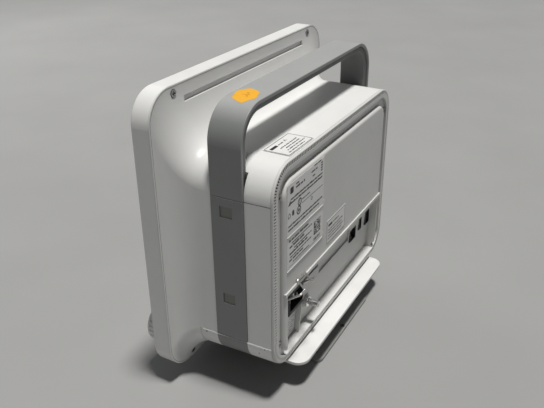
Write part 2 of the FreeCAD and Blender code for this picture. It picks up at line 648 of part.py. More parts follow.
for side in (-1, 1):
    for z in TANG_Z:
        screws.append(screw(f"handle_screw{side}_{z}", side, side * 117.0, TANG_Y, z, 3.6, 2.4, 1.9, 6.6, axis="X"))
keep("handle_screws", group("handle_screw_set", screws))

# ---------------------------------------------------------------- rear cover
cover = new_body("rear_cover")
cover_edge = Rect(-d.cover_half, d.cover_half, d.cover_low, d.cover_top, d.cover_round)
strip_in = Rect(d.strip - d.cover_half, d.cover_half - d.strip, d.cover_low + d.strip * 0.8,
                d.cover_top - d.strip, d.cover_round - d.strip)
panel_edge = Rect(-d.panel_half, d.panel_half, d.panel_low, d.panel_top, d.panel_round)
LIP_INSET = 3.4
lip_edge = Rect(LIP_INSET - d.cover_half, d.cover_half - LIP_INSET, d.cover_low + LIP_INSET,
                d.cover_top - LIP_INSET, d.cover_round - LIP_INSET)
pad(cover, "XZ", d.cover_y, d.channel_y, lip_edge)
pad(cover, "XZ", d.channel_y, d.ring_y, lip_edge, strip_in)
pad(cover, "XZ", d.ring_y, d.strip_y, cover_edge, strip_in)
round_edges(cover, 0.9, lambda edge: flat_at("y", d.strip_y)(edge) and (
    edge.BoundBox.XMax > 119.5 or edge.BoundBox.XMin < -119.5 or edge.BoundBox.ZMax > 216
    or edge.BoundBox.ZMin < 33))
pad(cover, "XZ", d.channel_y, d.panel_y, panel_edge)
round_edges(cover, 3.2, flat_at("y", d.panel_y))
wall = 2.6
pocket(cover, "XZ", d.cover_y - 1, d.panel_y - wall,
       Rect(wall - d.panel_half, d.panel_half - wall, d.bay_top + 6, d.panel_top - wall, d.panel_round - wall))

# The connector bay: a slanted plate that runs back from the drip ledge to the bay's floor.
SLANT_TOP, SLANT_LOW = 52.0, 46.5


def slant(z, shift=0.0):
    """The Y of the bay's slanted plate at a height, shifted along Y."""
    share = (z - d.bay_low.value) / (d.bay_top.value - d.bay_low.value)
    return SLANT_LOW + (SLANT_TOP - SLANT_LOW) * share + shift


floor_low = d.bay_low - wall
box_rear = d.cover_y + 0.5
pad(cover, "YZ", d.bay_x0 - wall, d.bay_x1 + wall,
    Poly((SLANT_LOW - wall, floor_low), (box_rear, floor_low), (box_rear, d.bay_top + wall),
         (SLANT_TOP - wall, d.bay_top + wall)))
# The box's lower corners are cut back to clear the round corners of the bottom cover.
for side, edge_x in ((1, d.bay_x0 - wall), (-1, d.bay_x1 + wall)):
    far_x, near_x = edge_x - side * 0.92, edge_x + side * 5.52
    pocket(cover, "XZ", SLANT_LOW - wall - 1, box_rear,
           Poly((far_x, floor_low - 0.52), (near_x, floor_low - 0.52), (far_x, floor_low + 3.12)))
pocket(cover, "YZ", d.bay_x0, d.bay_x1,
       Poly((SLANT_LOW, d.bay_low), (d.panel_y + 2, d.bay_low), (d.panel_y + 2, d.bay_top), (SLANT_TOP, d.bay_top)))
pad(cover, "XZ", d.panel_y - 1, d.ledge_y, Rect(-d.panel_half + 0.5, d.panel_half - 0.5, d.bay_top, d.bay_top + 3))
DOOR_X, DOOR_Z = (-46.0, 26.0), (76.0, 97.0)
pocket(cover, "YZ", *DOOR_X, Poly((slant(DOOR_Z[0], -1.7), DOOR_Z[0]), (slant(DOOR_Z[0], 3), DOOR_Z[0]),
                                  (slant(DOOR_Z[1], 3), DOOR_Z[1]), (slant(DOOR_Z[1], -1.7), DOOR_Z[1])))
pocket(cover, "XZ", 40, 56, Rect(30, 61, 86.5, 100))
pad(cover, "YZ", 69.6, 71.2, Poly((slant(40, -1), 40), (slant(40, 5), 40), (slant(71, 5), 71), (slant(71, -1), 71)))
inlet_low, inlet_high = d.inlet_z - d.inlet_high * 0.5, d.inlet_z + d.inlet_high * 0.5
inlet_x0, inlet_x1 = d.inlet_x - d.inlet_wide * 0.5, d.inlet_x + d.inlet_wide * 0.5
pocket(cover, "XZ", 36, 60, Rect(inlet_x0 - 0.2, inlet_x1 + 0.2, inlet_low - 0.2, inlet_high + 0.2))
JACKS = {"network_jack": (-56.0, 78.0, 15.0, 13.5), "usb_jack": (-76.0, 81.0, 6.6, 13.2),
         "serial_jack": (-96.0, 80.0, 11.0, 16.0)}
for x, z, wide, high in JACKS.values():
    pocket(cover, "XZ", 36, 60,
           Rect(x - wide / 2 - 0.2, x + wide / 2 + 0.2, z - high / 2 - 0.2, z + high / 2 + 0.2))
STUD = (51.5, 60.5)
stud_y = slant(STUD[1], 1.6)
pad(cover, "XZ", slant(STUD[1], -2.0), stud_y, Disc(*STUD, 6.5))
pocket(cover, "XZ", 34, 60, Disc(*STUD, 2.4))
COVER_POSTS = [(sx * 114.5, z) for sx in (-1, 1) for z in (55.0, 196.0)]
for x, z in COVER_POSTS:
    pocket(cover, "XZ", 45, 60, Disc(x, z, 1.9))

# Fine vent slots all the way around, just inside the outer edge. Each run starts at a corner's centre line
# and goes along one side, and the same slot is also turned about that corner.
SLOT_IN, SLOT_OUT, SLOT_HALF = 4.6, 1.1, 0.65
corner_x = d.cover_half - d.cover_round
corner_low, corner_high = d.cover_low + d.cover_round, d.cover_top - d.cover_round
inner_r, outer_r = d.cover_round - SLOT_IN, d.cover_round - SLOT_OUT
SLOT_RUNS = [
    (corner_x, corner_low, Rect(inner_r, outer_r, -SLOT_HALF, SLOT_HALF), "Z", 51, False),
    (corner_x, corner_high, Rect(-SLOT_HALF, SLOT_HALF, inner_r, outer_r), "X", 73, True),
    (-corner_x, corner_high, Rect(-outer_r, -inner_r, -SLOT_HALF, SLOT_HALF), "Z", 51, True),
    (-corner_x, corner_low, Rect(-SLOT_HALF, SLOT_HALF, -outer_r, -inner_r), "X", 73, False),
]
for centre_x, centre_z, outline, role, count, backwards in SLOT_RUNS:
    sketch = new_sketch(cover, "XZ", d.cover_y - 1, [outline])
    bind(sketch, ".AttachmentOffset.Base.x", centre_x)
    bind(sketch, ".AttachmentOffset.Base.y", centre_z)
    slot = cover.newObject("PartDesign::Pocket", "rear_cover_slot")
    slot.Profile = sketch
    bind(slot, "Length", 12)
    cover.Tip = slot
    length = corner_high - corner_low if role == "Z" else corner_x * 2
    in_a_row(cover, slot, role, length, count, backwards)
    in_an_arc(cover, slot, 84, 15, True)
keep("rear_cover", cover)
screws = [screw(f"cover_post_screw{i}", -1, x, d.channel_y + 1.8, z, 3.0, 1.8, 1.5, 10)
          for i, (x, z) in enumerate(COVER_POSTS)]
keep("rear_cover_screws", group("rear_screw_set", screws))

# ---------------------------------------------------------------- mains inlet, bail and ground stud
inlet = new_body("ac_inlet")
pad(inlet, "XZ", 31, d.inlet_face, Rect(inlet_x0, inlet_x1, inlet_low, inlet_high, 0))
round_edges(inlet, 1.0, flat_at("y", d.inlet_face))
socket_y = d.inlet_face - 17
sx, sz, top = 12.2, 8.2, 4.0
pocket(inlet, "XZ", socket_y, d.inlet_face + 1,
       Poly((d.inlet_x - sx, d.inlet_z - sz), (d.inlet_x + sx, d.inlet_z - sz), (d.inlet_x + sx, d.inlet_z + sz - top),
            (d.inlet_x + sx - top, d.inlet_z + sz), (d.inlet_x - sx + top, d.inlet_z + sz),
            (d.inlet_x - sx, d.inlet_z + sz - top)))
BLADES = [(-7.0, -1.5), (7.0, -1.5), (0.0, 2.5)]
for x, z in BLADES:
    pocket(inlet, "XZ", 29, socket_y + 1, Rect(d.inlet_x + x - 1.1, d.inlet_x + x + 1.1,
                                               d.inlet_z + z - 2.1, d.inlet_z + z + 2.1))
PIVOT_DEEP = 1.4
for low, high in ((inlet_x0 - 1, inlet_x0 + PIVOT_DEEP), (inlet_x1 - PIVOT_DEEP, inlet_x1 + 1)):
    pocket(inlet, "YZ", low, high, Disc(d.bail_y, d.bail_z, d.wire + 0.05))
keep("ac_inlet", inlet)
blades = [box(f"blade{i}", d.inlet_x + x - 1, d.inlet_x + x + 1, 24, d.inlet_face - 3,
              d.inlet_z + z - 2, d.inlet_z + z + 2) for i, (x, z) in enumerate(BLADES)]
keep("inlet_pins", group("inlet_blades", blades))


def rounded_path(points, radius):
    """A wire of straight runs through points in space, with each corner rounded."""
    edges, start = [], points[0]
    for before, corner, after in zip(points, points[1:], points[2:]):
        back, forth = (before - corner).normalize(), (after - corner).normalize()
        half_angle = back.getAngle(forth) / 2
        reach = radius / math.tan(half_angle)
        a, b = corner + back * reach, corner + forth * reach
        inward = (back + forth).normalize()
        middle = corner + inward * (radius / math.sin(half_angle) - radius)
        edges.append(Part.makeLine(start, a))
        edges.append(Part.Arc(a, middle, b).toShape())
        start = b
    edges.append(Part.makeLine(start, points[-1]))
    return Part.Wire(edges)


# The bail is a keyhole-shaped wire. It leans on the panel when no plug is held.
wire_r = d.wire.value
pivot_y, pivot_z = d.bail_y.value, d.bail_z.value
leg = d.inlet_wide.value / 2 + wire_r + 0.3
half_path = [(leg - 2.4, pivot_y, pivot_z), (leg, pivot_y, pivot_z), (leg, 66.0, 100.4), (7.2, 66.0, 100.4),
             (7.2, 58.7, 107.8)]
right = [Vector(d.inlet_x.value + x, y, z) for x, y, z in half_path]
left = [Vector(d.inlet_x.value - x, y, z) for x, y, z in reversed(half_path)]
spine = rounded_path(right + left, 1.15)
profile = Part.Wire([Part.makeCircle(wire_r, right[0], Vector(1, 0, 0))])
bail_shape = spine.makePipeShell([profile], True, False)
bail = doc.addObject("Part::Feature", "inlet_bail")
bail.Shape = bail_shape
keep("inlet_bail", bail)

stud = cylinder("stud_base", "Y", STUD[0], stud_y, STUD[1], 5, 2)
stud_pin = cylinder("stud_pin", "Y", STUD[0], stud_y + 2, STUD[1], 3, 10)
stud_neck = cylinder("stud_neck", "Y", STUD[0], stud_y - 9, STUD[1], 2, 9)
keep("ground_stud", fuse("ground_stud_all", stud, stud_pin, stud_neck))

IO_Y = (33.0, 34.6)
JACK_FACE = 51.0
for label, (x, z, wide, high) in JACKS.items():
    jack = new_body(label)
    pad(jack, "XZ", IO_Y[1], JACK_FACE, Rect(x - wide / 2, x + wide / 2, z - high / 2, z + high / 2))
    pocket(jack, "XZ", JACK_FACE - 11, JACK_FACE + 1,
           Rect(x - wide / 2 + 1, x + wide / 2 - 1, z - high / 2 + 1.2, z + high / 2 - 1))
    if label == "network_jack":
        pocket(jack, "XZ", JACK_FACE - 4, JACK_FACE + 1, Rect(x - 3, x + 3, z + high / 2 - 1.5, z + high / 2 + 1))
    else:
        pad(jack, "XZ", JACK_FACE - 11.5, JACK_FACE - 1.5, Rect(x - 1.1, x + 1.1, z - high / 2 + 2.6, z + high / 2 - 2.4))
    keep(label, jack)
block("io_board", "XZ", *IO_Y, Rect(-104, 20, 64, 98))

# ---------------------------------------------------------------- labels
FILM = 0.25
labels = [box("label_rating", 38, 106.5, d.panel_y, d.panel_y + FILM, 157.5, 203),
          box("label_battery", 38, 106.5, d.panel_y, d.panel_y + FILM, 125.5, 156),
          box("label_service", -14, 28, d.panel_y, d.panel_y + FILM, 110.3, 134.8),
          box("label_top", 49.5, 92.5, 28.5, 52.6, d.block_top, d.block_top + FILM)]
keep("labels", group("label_set", labels))

# ---------------------------------------------------------------- sensor panel on the left side
PANEL_X = -128.0
sensor = new_body("sensor_panel")
pad(sensor, "YZ", PANEL_X, PANEL_X + 3, Rect(PANEL_Y[0] + gap, PANEL_Y[1] - gap, PANEL_Z[0] + gap, PANEL_Z[1] - gap, 4.7))
pad(sensor, "YZ", PANEL_X + 3, PANEL_X + 8, Rect(PANEL_Y[0] + 3, PANEL_Y[1] - 3, PANEL_Z[0] + 3, PANEL_Z[1] - 3, 3),
    Rect(PANEL_Y[0] + 5, PANEL_Y[1] - 5, PANEL_Z[0] + 5, PANEL_Z[1] - 5, 2))
# Each socket: height, outer radius, bore radius.
SOCKETS = {"ecg_socket": (150.0, 8.5, 6.0), "spo2_socket": (127.0, 7.5, 5.2), "temp_socket": (107.0, 6.0, 3.4),
           "ibp_socket": (88.0, 7.0, 4.8)}
SOCKET_Y = 12.0
for z, outer, bore in SOCKETS.values():
    pocket(sensor, "YZ", PANEL_X - 1, PANEL_X + 9, Disc(SOCKET_Y, z, outer - 1.2))
CUFF = (33.0, 88.0)
pocket(sensor, "YZ", PANEL_X - 1, PANEL_X + 9, Disc(*CUFF, 4.4))
keep("sensor_panel", sensor)
for label, (z, outer, bore) in SOCKETS.items():
    socket = new_body(label)
    pad(socket, "YZ", PANEL_X - 2.2, PANEL_X, Disc(SOCKET_Y, z, outer))
    pad(socket, "YZ", PANEL_X, PANEL_X + 11, Disc(SOCKET_Y, z, outer - 1.5))
    pocket(socket, "YZ", PANEL_X - 3, PANEL_X + 8, Disc(SOCKET_Y, z, bore))
    pad(socket, "YZ", PANEL_X, PANEL_X + 9, Disc(SOCKET_Y, z, bore * 0.45))
    keep(label, socket)
cuff = new_body("cuff_port")
pad(cuff, "YZ", PANEL_X - 1.6, PANEL_X, Disc(*CUFF, 7))
pad(cuff, "YZ", PANEL_X - 11, PANEL_X - 1.6, Disc(*CUFF, 3.6))
pad(cuff, "YZ", PANEL_X, PANEL_X + 12, Disc(*CUFF, 4))
pocket(cuff, "YZ", PANEL_X - 12, PANEL_X + 13, Disc(*CUFF, 2))
keep("cuff_port", cuff)

# ---------------------------------------------------------------- inside
chassis_y = (-33.0, -31.5)
chassis = new_body("chassis_plate")
pad(chassis, "XZ", *chassis_y, Rect(-124, 124, 40, 226, 6))
for left_x in (-100, -20, 60):
    pocket(chassis, "XZ", chassis_y[0] - 1, chassis_y[1] + 1, Rect(left_x, left_x + 40, 186, 206, 3))
MAIN_BOARD_Y = (-26.0, -24.4)
for x in (-62, 92):
    for z in (108, 178):
        pad(chassis, "XZ", chassis_y[1], MAIN_BOARD_Y[0], Disc(x, z, 3))
keep("chassis_plate", chassis)
main_board = [box("main_sheet", -70, 100, *MAIN_BOARD_Y, 100, 184)]
for i, (x, z, wide, high, deep) in enumerate([(-50, 120, 18, 18, 2), (-20, 118, 14, 20, 2), (70, 125, 22, 12, 6),
                                              (-45, 160, 12, 30, 8), (75, 165, 30, 8, 9)]):
    main_board.append(box(f"main_chip{i}", x - wide / 2, x + wide / 2, MAIN_BOARD_Y[1], MAIN_BOARD_Y[1] + deep,
                          z - high / 2, z + high / 2))
keep("main_board", fuse("main_board_all", *main_board))
fins = [box("sink_base", 4, 52, MAIN_BOARD_Y[1], MAIN_BOARD_Y[1] + 3, 128, 172)]
fins += [box(f"sink_fin{i}", 4 + 6.6 * i, 6 + 6.6 * i, MAIN_BOARD_Y[1] + 3, -9, 128, 172) for i in range(8)]
keep("heat_sink", fuse("heat_sink_all", *fins))

supply = new_body("power_supply")
pad(supply, "XZ", -5, 22, Rect(14, 112, 62, 168, 2))
pocket(supply, "XZ", -3.6, 23, Rect(15.4, 110.6, 63.4, 166.6, 1))
pad(supply, "XZ", -3.6, 0, Rect(20, 106, 68, 162))
for x, z, r in ((36, 88, 9), (36, 112, 9), (90, 145, 6), (72, 145, 6)):
    pad(supply, "XZ", 0, 18, Disc(x, z, r))
pad(supply, "XZ", 0, 20, Rect(60, 95, 84, 120))
keep("power_supply", supply)
block("battery_pack", "XZ", -14, 36, Rect(-80, 22, 34.6, 56, 3), fillet=1.0)
block("parameter_module", "XZ", -16, 28, Rect(-116, -80, 62, 172, 2), fillet=1.0)
pump = cylinder("pump_can", "Z", -48, 6, 66, 13, 46)
pump_head = box("pump_head", -62, -34, -8, 20, 112, 122)
keep("cuff_pump", fuse("cuff_pump_all", pump, pump_head))
speaker = new_body("speaker")
pad(speaker, "XZ", chassis_y[1], -28.5, Disc(-92, 78, 20))
pad(speaker, "XZ", -28.5, -19, Disc(-92, 78, 11))
keep("speaker", speaker)

# ---------------------------------------------------------------- stand
PLATE_ROUND = 12.0
base = new_body("base_plate")
pad(base, "XY", d.base_low, d.base_top, Rect(-d.base_half, d.base_half, d.base_front, d.base_rear, PLATE_ROUND))
round_edges(base, 0.8, lambda edge: flat_at("z", d.base_top)(edge) or flat_at("z", d.base_low)(edge))
keep("base_plate", base)
spots = [(sx * 70.0, y) for sx in (-1, 1) for y in (-8.0, 40.0)]
spacers = [cylinder(f"spacer{i}", "Z", x, y, d.base_top, 7, 30.4 - d.base_top) for i, (x, y) in enumerate(spots)]
keep("base_spacers", group("spacer_set", spacers))
block("mount_block", "XY", d.plate_thick, d.base_low, Rect(-42, 42, -18, 46, 6))
plate = new_body("mount_plate")
pad(plate, "XY", 0, d.plate_thick, Rect(-d.plate_half, d.plate_half, d.plate_front, d.plate_rear, 6))
for sx in (-1, 1):
    for sy in (-1, 1):
        pocket(plate, "XY", -1, d.plate_thick + 1,
               Disc(d.hole_pitch * (sx / 2), d.plate_mid + d.hole_pitch * (sy / 2), d.mount_hole))
pocket(plate, "XY", -1, d.plate_thick + 1, Disc(0, 66.0, 2.75))
keep("mount_plate", plate)

# ---------------------------------------------------------------- check and write
doc.recompute()
broken = [o.Label for o in doc.Objects if any(flag in o.State for flag in ("Invalid", "Error"))]
if broken:
    raise RuntimeError(f"failed to compute: {broken}")
os.makedirs("parts", exist_ok=True)
for label, node in sorted(nodes.items()):
    shape = node.Shape
    if shape.isNull() or not shape.isValid() or not shape.Solids:
        raise RuntimeError(f"{label}: not a valid solid")
    shape.exportStep(os.path.join("parts", f"{label}.step"))
    box_size = shape.BoundBox
    print(f"{label:20s} solids {len(shape.Solids):2d}  volume {shape.Volume:12.1f}  "
          f"{box_size.XLength:.1f} x {box_size.YLength:.1f} x {box_size.ZLength:.1f}")
print(f"{len(nodes)} nodes")
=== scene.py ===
"""Looks for the bedside patient monitor: materials, print, small details, floor, light and camera.

The model's own frame: +Z up, the screen faces -Y. Materials, light and camera are in metres. Print and small
details are laid out in millimetres and scaled by MM.
"""
import math
import random

import bmesh
import bpy
from mathutils import Matrix, Vector


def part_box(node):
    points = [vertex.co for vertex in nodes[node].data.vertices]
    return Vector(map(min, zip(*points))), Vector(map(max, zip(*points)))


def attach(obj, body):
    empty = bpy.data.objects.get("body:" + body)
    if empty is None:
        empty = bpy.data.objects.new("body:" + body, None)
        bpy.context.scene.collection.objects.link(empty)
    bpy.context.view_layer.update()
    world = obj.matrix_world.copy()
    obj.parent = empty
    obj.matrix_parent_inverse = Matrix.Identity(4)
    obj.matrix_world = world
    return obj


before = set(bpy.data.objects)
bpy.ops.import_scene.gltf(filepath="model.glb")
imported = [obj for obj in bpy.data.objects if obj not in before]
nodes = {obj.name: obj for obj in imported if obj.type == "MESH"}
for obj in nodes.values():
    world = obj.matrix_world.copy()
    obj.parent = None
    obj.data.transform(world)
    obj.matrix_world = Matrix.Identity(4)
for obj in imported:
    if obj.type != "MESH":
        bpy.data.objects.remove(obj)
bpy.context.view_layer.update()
MM = 0.001


def box_mm(node):
    """A node's lowest and highest corners in millimetres."""
    return [Vector([round(length / MM, 3) for length in corner]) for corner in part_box(node)]


def middle_mm(node):
    """The middle of a node, to the nearest millimetre."""
    low, high = box_mm(node)
    return Vector([round(length) for length in (low + high) / 2])


# ---------------------------------------------------------------- shader helpers
class Paint:
    """A procedural material around one Principled shader. Coordinates are the model's own, in metres."""

    def __init__(self, name, roughness=0.45, **constants):
        self.material = bpy.data.materials.new(name)
        self.material.use_nodes = True
        self.tree = self.material.node_tree
        self.shader = self.tree.nodes["Principled BSDF"]
        self.shader.inputs["Roughness"].default_value = roughness
        for socket, value in constants.items():
            self.shader.inputs[socket.replace("_", " ")].default_value = value
        self.coords = self.node("ShaderNodeTexCoord").outputs["Object"]

    def node(self, kind, **settings):
        made = self.tree.nodes.new(kind)
        for name, value in settings.items():
            setattr(made, name, value)
        return made

    def feed(self, socket, value):
        """Links an output into a socket, or sets a plain value on it."""
        if isinstance(value, bpy.types.NodeSocket):
            self.tree.links.new(value, socket)
        elif isinstance(value, (tuple, list)) and len(value) == 3 and socket.type == "RGBA":
            socket.default_value = (*value, 1)
        else:
            socket.default_value = value

    def axes(self, vector=None):
        """The X, Y and Z outputs of a vector, by default of the coordinates."""
        split = self.node("ShaderNodeSeparateXYZ")
        self.feed(split.inputs[0], vector or self.coords)
        return split.outputs

    def stretched(self, scale):
        mapping = self.node("ShaderNodeMapping")
        self.feed(mapping.inputs["Vector"], self.coords)
        mapping.inputs["Scale"].default_value = scale
        return mapping.outputs["Vector"]

    def noise(self, scale, detail=3.0, rough=0.5, vector=None):
        made = self.node("ShaderNodeTexNoise")
        self.feed(made.inputs["Vector"], vector or self.coords)
        made.inputs["Scale"].default_value = scale
        made.inputs["Detail"].default_value = detail
        made.inputs["Roughness"].default_value = rough
        return made.outputs["Fac"]

    def spread(self, value, low, high, to_low=0.0, to_high=1.0):
        """Maps a range of a value onto another range, clamped."""
        made = self.node("ShaderNodeMapRange")
        self.feed(made.inputs["Value"], value)
        for name, number in (("From Min", low), ("From Max", high), ("To Min", to_low), ("To Max", to_high)):
            made.inputs[name].default_value = number
        return made.outputs["Result"]

    def math(self, operation, first, second=0.0):
        made = self.node("ShaderNodeMath", operation=operation)
        self.feed(made.inputs[0], first)
        self.feed(made.inputs[1], second)
        return made.outputs[0]

    def times(self, first, second):
        return self.math("MULTIPLY", first, second)

    def blend(self, share, first, second):
        """The first colour where share is 0, the second where it is 1."""
        made = self.node("ShaderNodeMix", data_type="RGBA")
        self.feed(made.inputs["Factor"], share)
        self.feed(made.inputs["A"], first)
        self.feed(made.inputs["B"], second)
        return made.outputs["Result"]

    def clouded(self, scale, detail, dark, light, low=0.3, high=0.7):
        """A base colour that drifts between two shades."""
        return self.blend(self.spread(self.noise(scale, detail), low, high), dark, light)

    def edges(self, reach):
        """0 on flat ground, towards 1 near an edge."""
        rounded = self.node("ShaderNodeBevel", samples=6)
        rounded.inputs["Radius"].default_value = reach
        plain = self.node("ShaderNodeNewGeometry")
        turn = self.node("ShaderNodeVectorMath", operation="DOT_PRODUCT")
        self.feed(turn.inputs[0], rounded.outputs["Normal"])
        self.feed(turn.inputs[1], plain.outputs["Normal"])
        return self.spread(turn.outputs["Value"], 0.995, 0.75)

    def occlusion_shade(self, reach):
        """0 in the open, towards 1 where surfaces crowd each other: an ambient-occlusion mask, used to paint
        shade.
        """
        closed = self.node("ShaderNodeAmbientOcclusion", samples=6)
        closed.inputs["Distance"].default_value = reach
        return self.spread(closed.outputs["AO"], 0.85, 0.25)

    def relief(self, height, depth, strength=1.0, under=None):
        """A bump of a real depth in metres, on top of an earlier one if given."""
        made = self.node("ShaderNodeBump")
        made.inputs["Strength"].default_value = strength
        made.inputs["Distance"].default_value = depth
        self.feed(made.inputs["Height"], height)
        if under is not None:
            self.feed(made.inputs["Normal"], under)
        return made.outputs["Normal"]

    def finish(self, color, rough=None, normal=None):
        self.feed(self.shader.inputs["Base Color"], color)
        if rough is not None:
            self.feed(self.shader.inputs["Roughness"], rough)
        if normal is not None:
            self.feed(self.shader.inputs["Normal"], normal)
        return self.material


def scaled(color, factor):
    return tuple(min(1.0, channel * factor) for channel in color)


def moulded(name, color, rough=0.42, grain=0.00003, wear=0.35, seam_shade_and_grime=0.45, scuffs=0.25, tint=None):
    """Moulded plastic: spark texture, faint clouds, rubbed edges, painted shade in the seams mixed with
    patchy grime, light scuffs.
    """
    paint = Paint(name, rough)
    cloud = paint.noise(14, 4, 0.55)
    base = paint.blend(paint.spread(cloud, 0.35, 0.65), scaled(color, 0.965), scaled(color, 1.015))
    if tint:
        base = tint(paint, base)
    specks = paint.spread(paint.noise(900, 2, 0.6), 0.7, 0.76)
    base = paint.blend(paint.times(specks, 0.12), base, scaled(color, 0.55))
    rub = paint.times(paint.edges(0.0012), paint.spread(paint.noise(120, 4, 0.6), 0.40, 0.62))
    base = paint.blend(paint.times(rub, wear), base, scaled(color, 1.12))
    # Painted shade: seams, slots and recesses darken where the ambient-occlusion mask says shade falls,
    # broken up in patches like grime.
    patchy = paint.spread(paint.noise(45, 4, 0.6), 0.25, 0.7, 0.45, 1.0)
    shade_grime_mask = paint.times(paint.occlusion_shade(0.006), patchy)
    shade_grime_color = (color[0] * 0.42, color[1] * 0.40, color[2] * 0.37)
    base = paint.blend(paint.times(shade_grime_mask, seam_shade_and_grime), base, shade_grime_color)
    streak = paint.spread(paint.noise(1, 5, 0.62, paint.stretched((420, 420, 16))), 0.655, 0.70)
    scuffed = paint.times(streak, paint.spread(paint.noise(9, 2), 0.50, 0.62))
    base = paint.blend(paint.times(scuffed, scuffs), base, scaled(color, 0.62))
    gloss = paint.spread(paint.noise(60, 5, 0.65), 0.3, 0.7, rough - 0.06, rough + 0.08)
    gloss = paint.math("SUBTRACT", gloss, paint.times(rub, 0.10))
    skin = paint.relief(paint.noise(1900, 2, 0.6), grain)
    skin = paint.relief(paint.noise(22, 2), 0.0004, 0.10, skin)
    return paint.finish(base, gloss, skin)


def metal(name, color, rough=0.3, fineness=(700, 700, 700), recess_shade=0.6):
    """Bare or plated metal: a grain of some fineness along X, Y and Z, painted shade darkening the hollows,
    bright edges.
    """
    paint = Paint(name, rough, Metallic=1.0)
    grain = paint.noise(1, 4, 0.6, paint.stretched(fineness))
    base = paint.blend(paint.spread(grain, 0.3, 0.7), scaled(color, 0.86), scaled(color, 1.06))
    # Painted shade: the hollows darken where the ambient-occlusion mask says shade falls.
    base = paint.blend(paint.times(paint.occlusion_shade(0.002), recess_shade), base, scaled(color, 0.35))
    base = paint.blend(paint.times(paint.edges(0.0005), 0.3), base, scaled(color, 1.25))
    gloss = paint.spread(grain, 0.3, 0.7, rough - 0.07, rough + 0.1)
    return paint.finish(base, gloss, paint.relief(grain, 0.00002, 0.6))


def coated(name, color, rough=0.5):
    """Powder coat or paint on metal: orange peel, chipped and rubbed edges, painted shade in the hollows."""
    paint = Paint(name, rough)
    base = paint.clouded(18, 4, scaled(color, 0.94), scaled(color, 1.05), 0.35, 0.65)
    chips = paint.times(paint.edges(0.0009), paint.spread(paint.noise(260, 3, 0.7), 0.54, 0.60))
    base = paint.blend(paint.times(chips, 0.55), base, (0.48, 0.48, 0.47))
    # Painted shade: the paint darkens where the ambient-occlusion mask says shade falls.
    base = paint.blend(paint.times(paint.occlusion_shade(0.008), 0.4), base, scaled(color, 0.4))
    gloss = paint.spread(paint.noise(70, 4), 0.3, 0.7, rough - 0.08, rough + 0.08)
    return paint.finish(base, gloss, paint.relief(paint.noise(620, 2, 0.5), 0.00005))


def board(name, color):
    """A circuit board's solder mask with fine traces and a scatter of pads."""
    paint = Paint(name, 0.35)
    cells = paint.node("ShaderNodeTexVoronoi", distance="CHEBYCHEV", feature="F1")
    paint.feed(cells.inputs["Vector"], paint.coords)
    cells.inputs["Scale"].default_value = 260
    traces = paint.spread(cells.outputs["Distance"], 0.40, 0.44)
    base = paint.blend(traces, scaled(color, 0.8), scaled(color, 1.5))
    pads = paint.spread(paint.noise(700, 0), 0.66, 0.68)
    base = paint.blend(pads, base, (0.75, 0.72, 0.62))
    return paint.finish(base, paint.spread(traces, 0, 1, 0.3, 0.42), paint.relief(traces, 0.00004))


def glass_black():
    """The touch screen's glass: near black, a blacker border, smears and finger marks in the gloss."""
    paint = Paint("screen_glass", 0.06, Coat_Weight=0.6, Coat_Roughness=0.03)
    place = paint.axes()
    smear = paint.spread(paint.noise(1, 4, 0.6, paint.stretched((18, 18, 42))), 0.45, 0.75)
    fingers = paint.spread(paint.noise(130, 2, 0.5), 0.60, 0.72)
    gloss = paint.math("ADD", paint.times(smear, 0.10), paint.times(fingers, 0.05))
    gloss = paint.math("ADD", gloss, 0.05)
    view_half_wide, view_half_high, view_middle = 0.1305, 0.0815, 0.159
    aside = paint.math("ABSOLUTE", place["X"])
    above = paint.math("ABSOLUTE", paint.math("SUBTRACT", place["Z"], view_middle))
    border = paint.math("MAXIMUM", paint.math("GREATER_THAN", aside, view_half_wide),
                        paint.math("GREATER_THAN", above, view_half_high))
    return paint.finish(paint.blend(border, (0.014, 0.015, 0.018), (0.004, 0.004, 0.005)), gloss)


def frosted(name, color, painted_glow=0.0):
    """A frosted lens. Its emission is painted light: a faint glow that lifts the lens where it sits in shade.
    """
    paint = Paint(name, 0.38, Transmission_Weight=0.35, IOR=1.49,
                  Emission_Color=(*color, 1), Emission_Strength=painted_glow)
    ribs = paint.node("ShaderNodeTexWave", wave_type="BANDS", bands_direction="X")
    paint.feed(ribs.inputs["Vector"], paint.coords)
    ribs.inputs["Scale"].default_value = 120
    base = paint.clouded(40, 3, scaled(color, 0.93), color)
    gloss = paint.spread(paint.noise(80, 3), 0.3, 0.7, 0.3, 0.46)
    return paint.finish(base, gloss, paint.relief(ribs.outputs["Fac"], 0.00012, 0.6))


def paper(name, color, rough=0.36):
    """A printed film label: slightly glossy, with a fine grain, grubby at its edge."""
    paint = Paint(name, rough)
    base = paint.clouded(60, 4, scaled(color, 0.95), color)
    base = paint.blend(paint.times(paint.edges(0.0009), 0.35), base, scaled(color, 0.62))
    gloss = paint.spread(paint.noise(90, 4), 0.3, 0.7, rough - 0.08, rough + 0.08)
    return paint.finish(base, gloss, paint.relief(paint.noise(900, 2), 0.00002))


def ink(name, color):
    """Print that is thin in places."""
    paint = Paint(name, 0.5)
    return paint.finish(paint.clouded(1400, 2, color, scaled(color, 2.6), 0.35, 0.75))


def rubber(name, color):
    """Foam or rubber: matt, mottled and dusty."""
    paint = Paint(name, 0.72)
    base = paint.clouded(35, 4, scaled(color, 0.85), scaled(color, 1.2))
    dust = paint.spread(paint.noise(300, 4, 0.7), 0.56, 0.7)
    base = paint.blend(paint.times(dust, 0.35), base, scaled(color, 2.2))
    skin = paint.relief(paint.noise(1300, 2), 0.00006)
    return paint.finish(base, paint.spread(paint.noise(80, 3), 0.3, 0.7, 0.62, 0.8), skin)


# ---------------------------------------------------------------- materials
WHITE = (0.80, 0.80, 0.785)
GREY = (0.245, 0.255, 0.25)
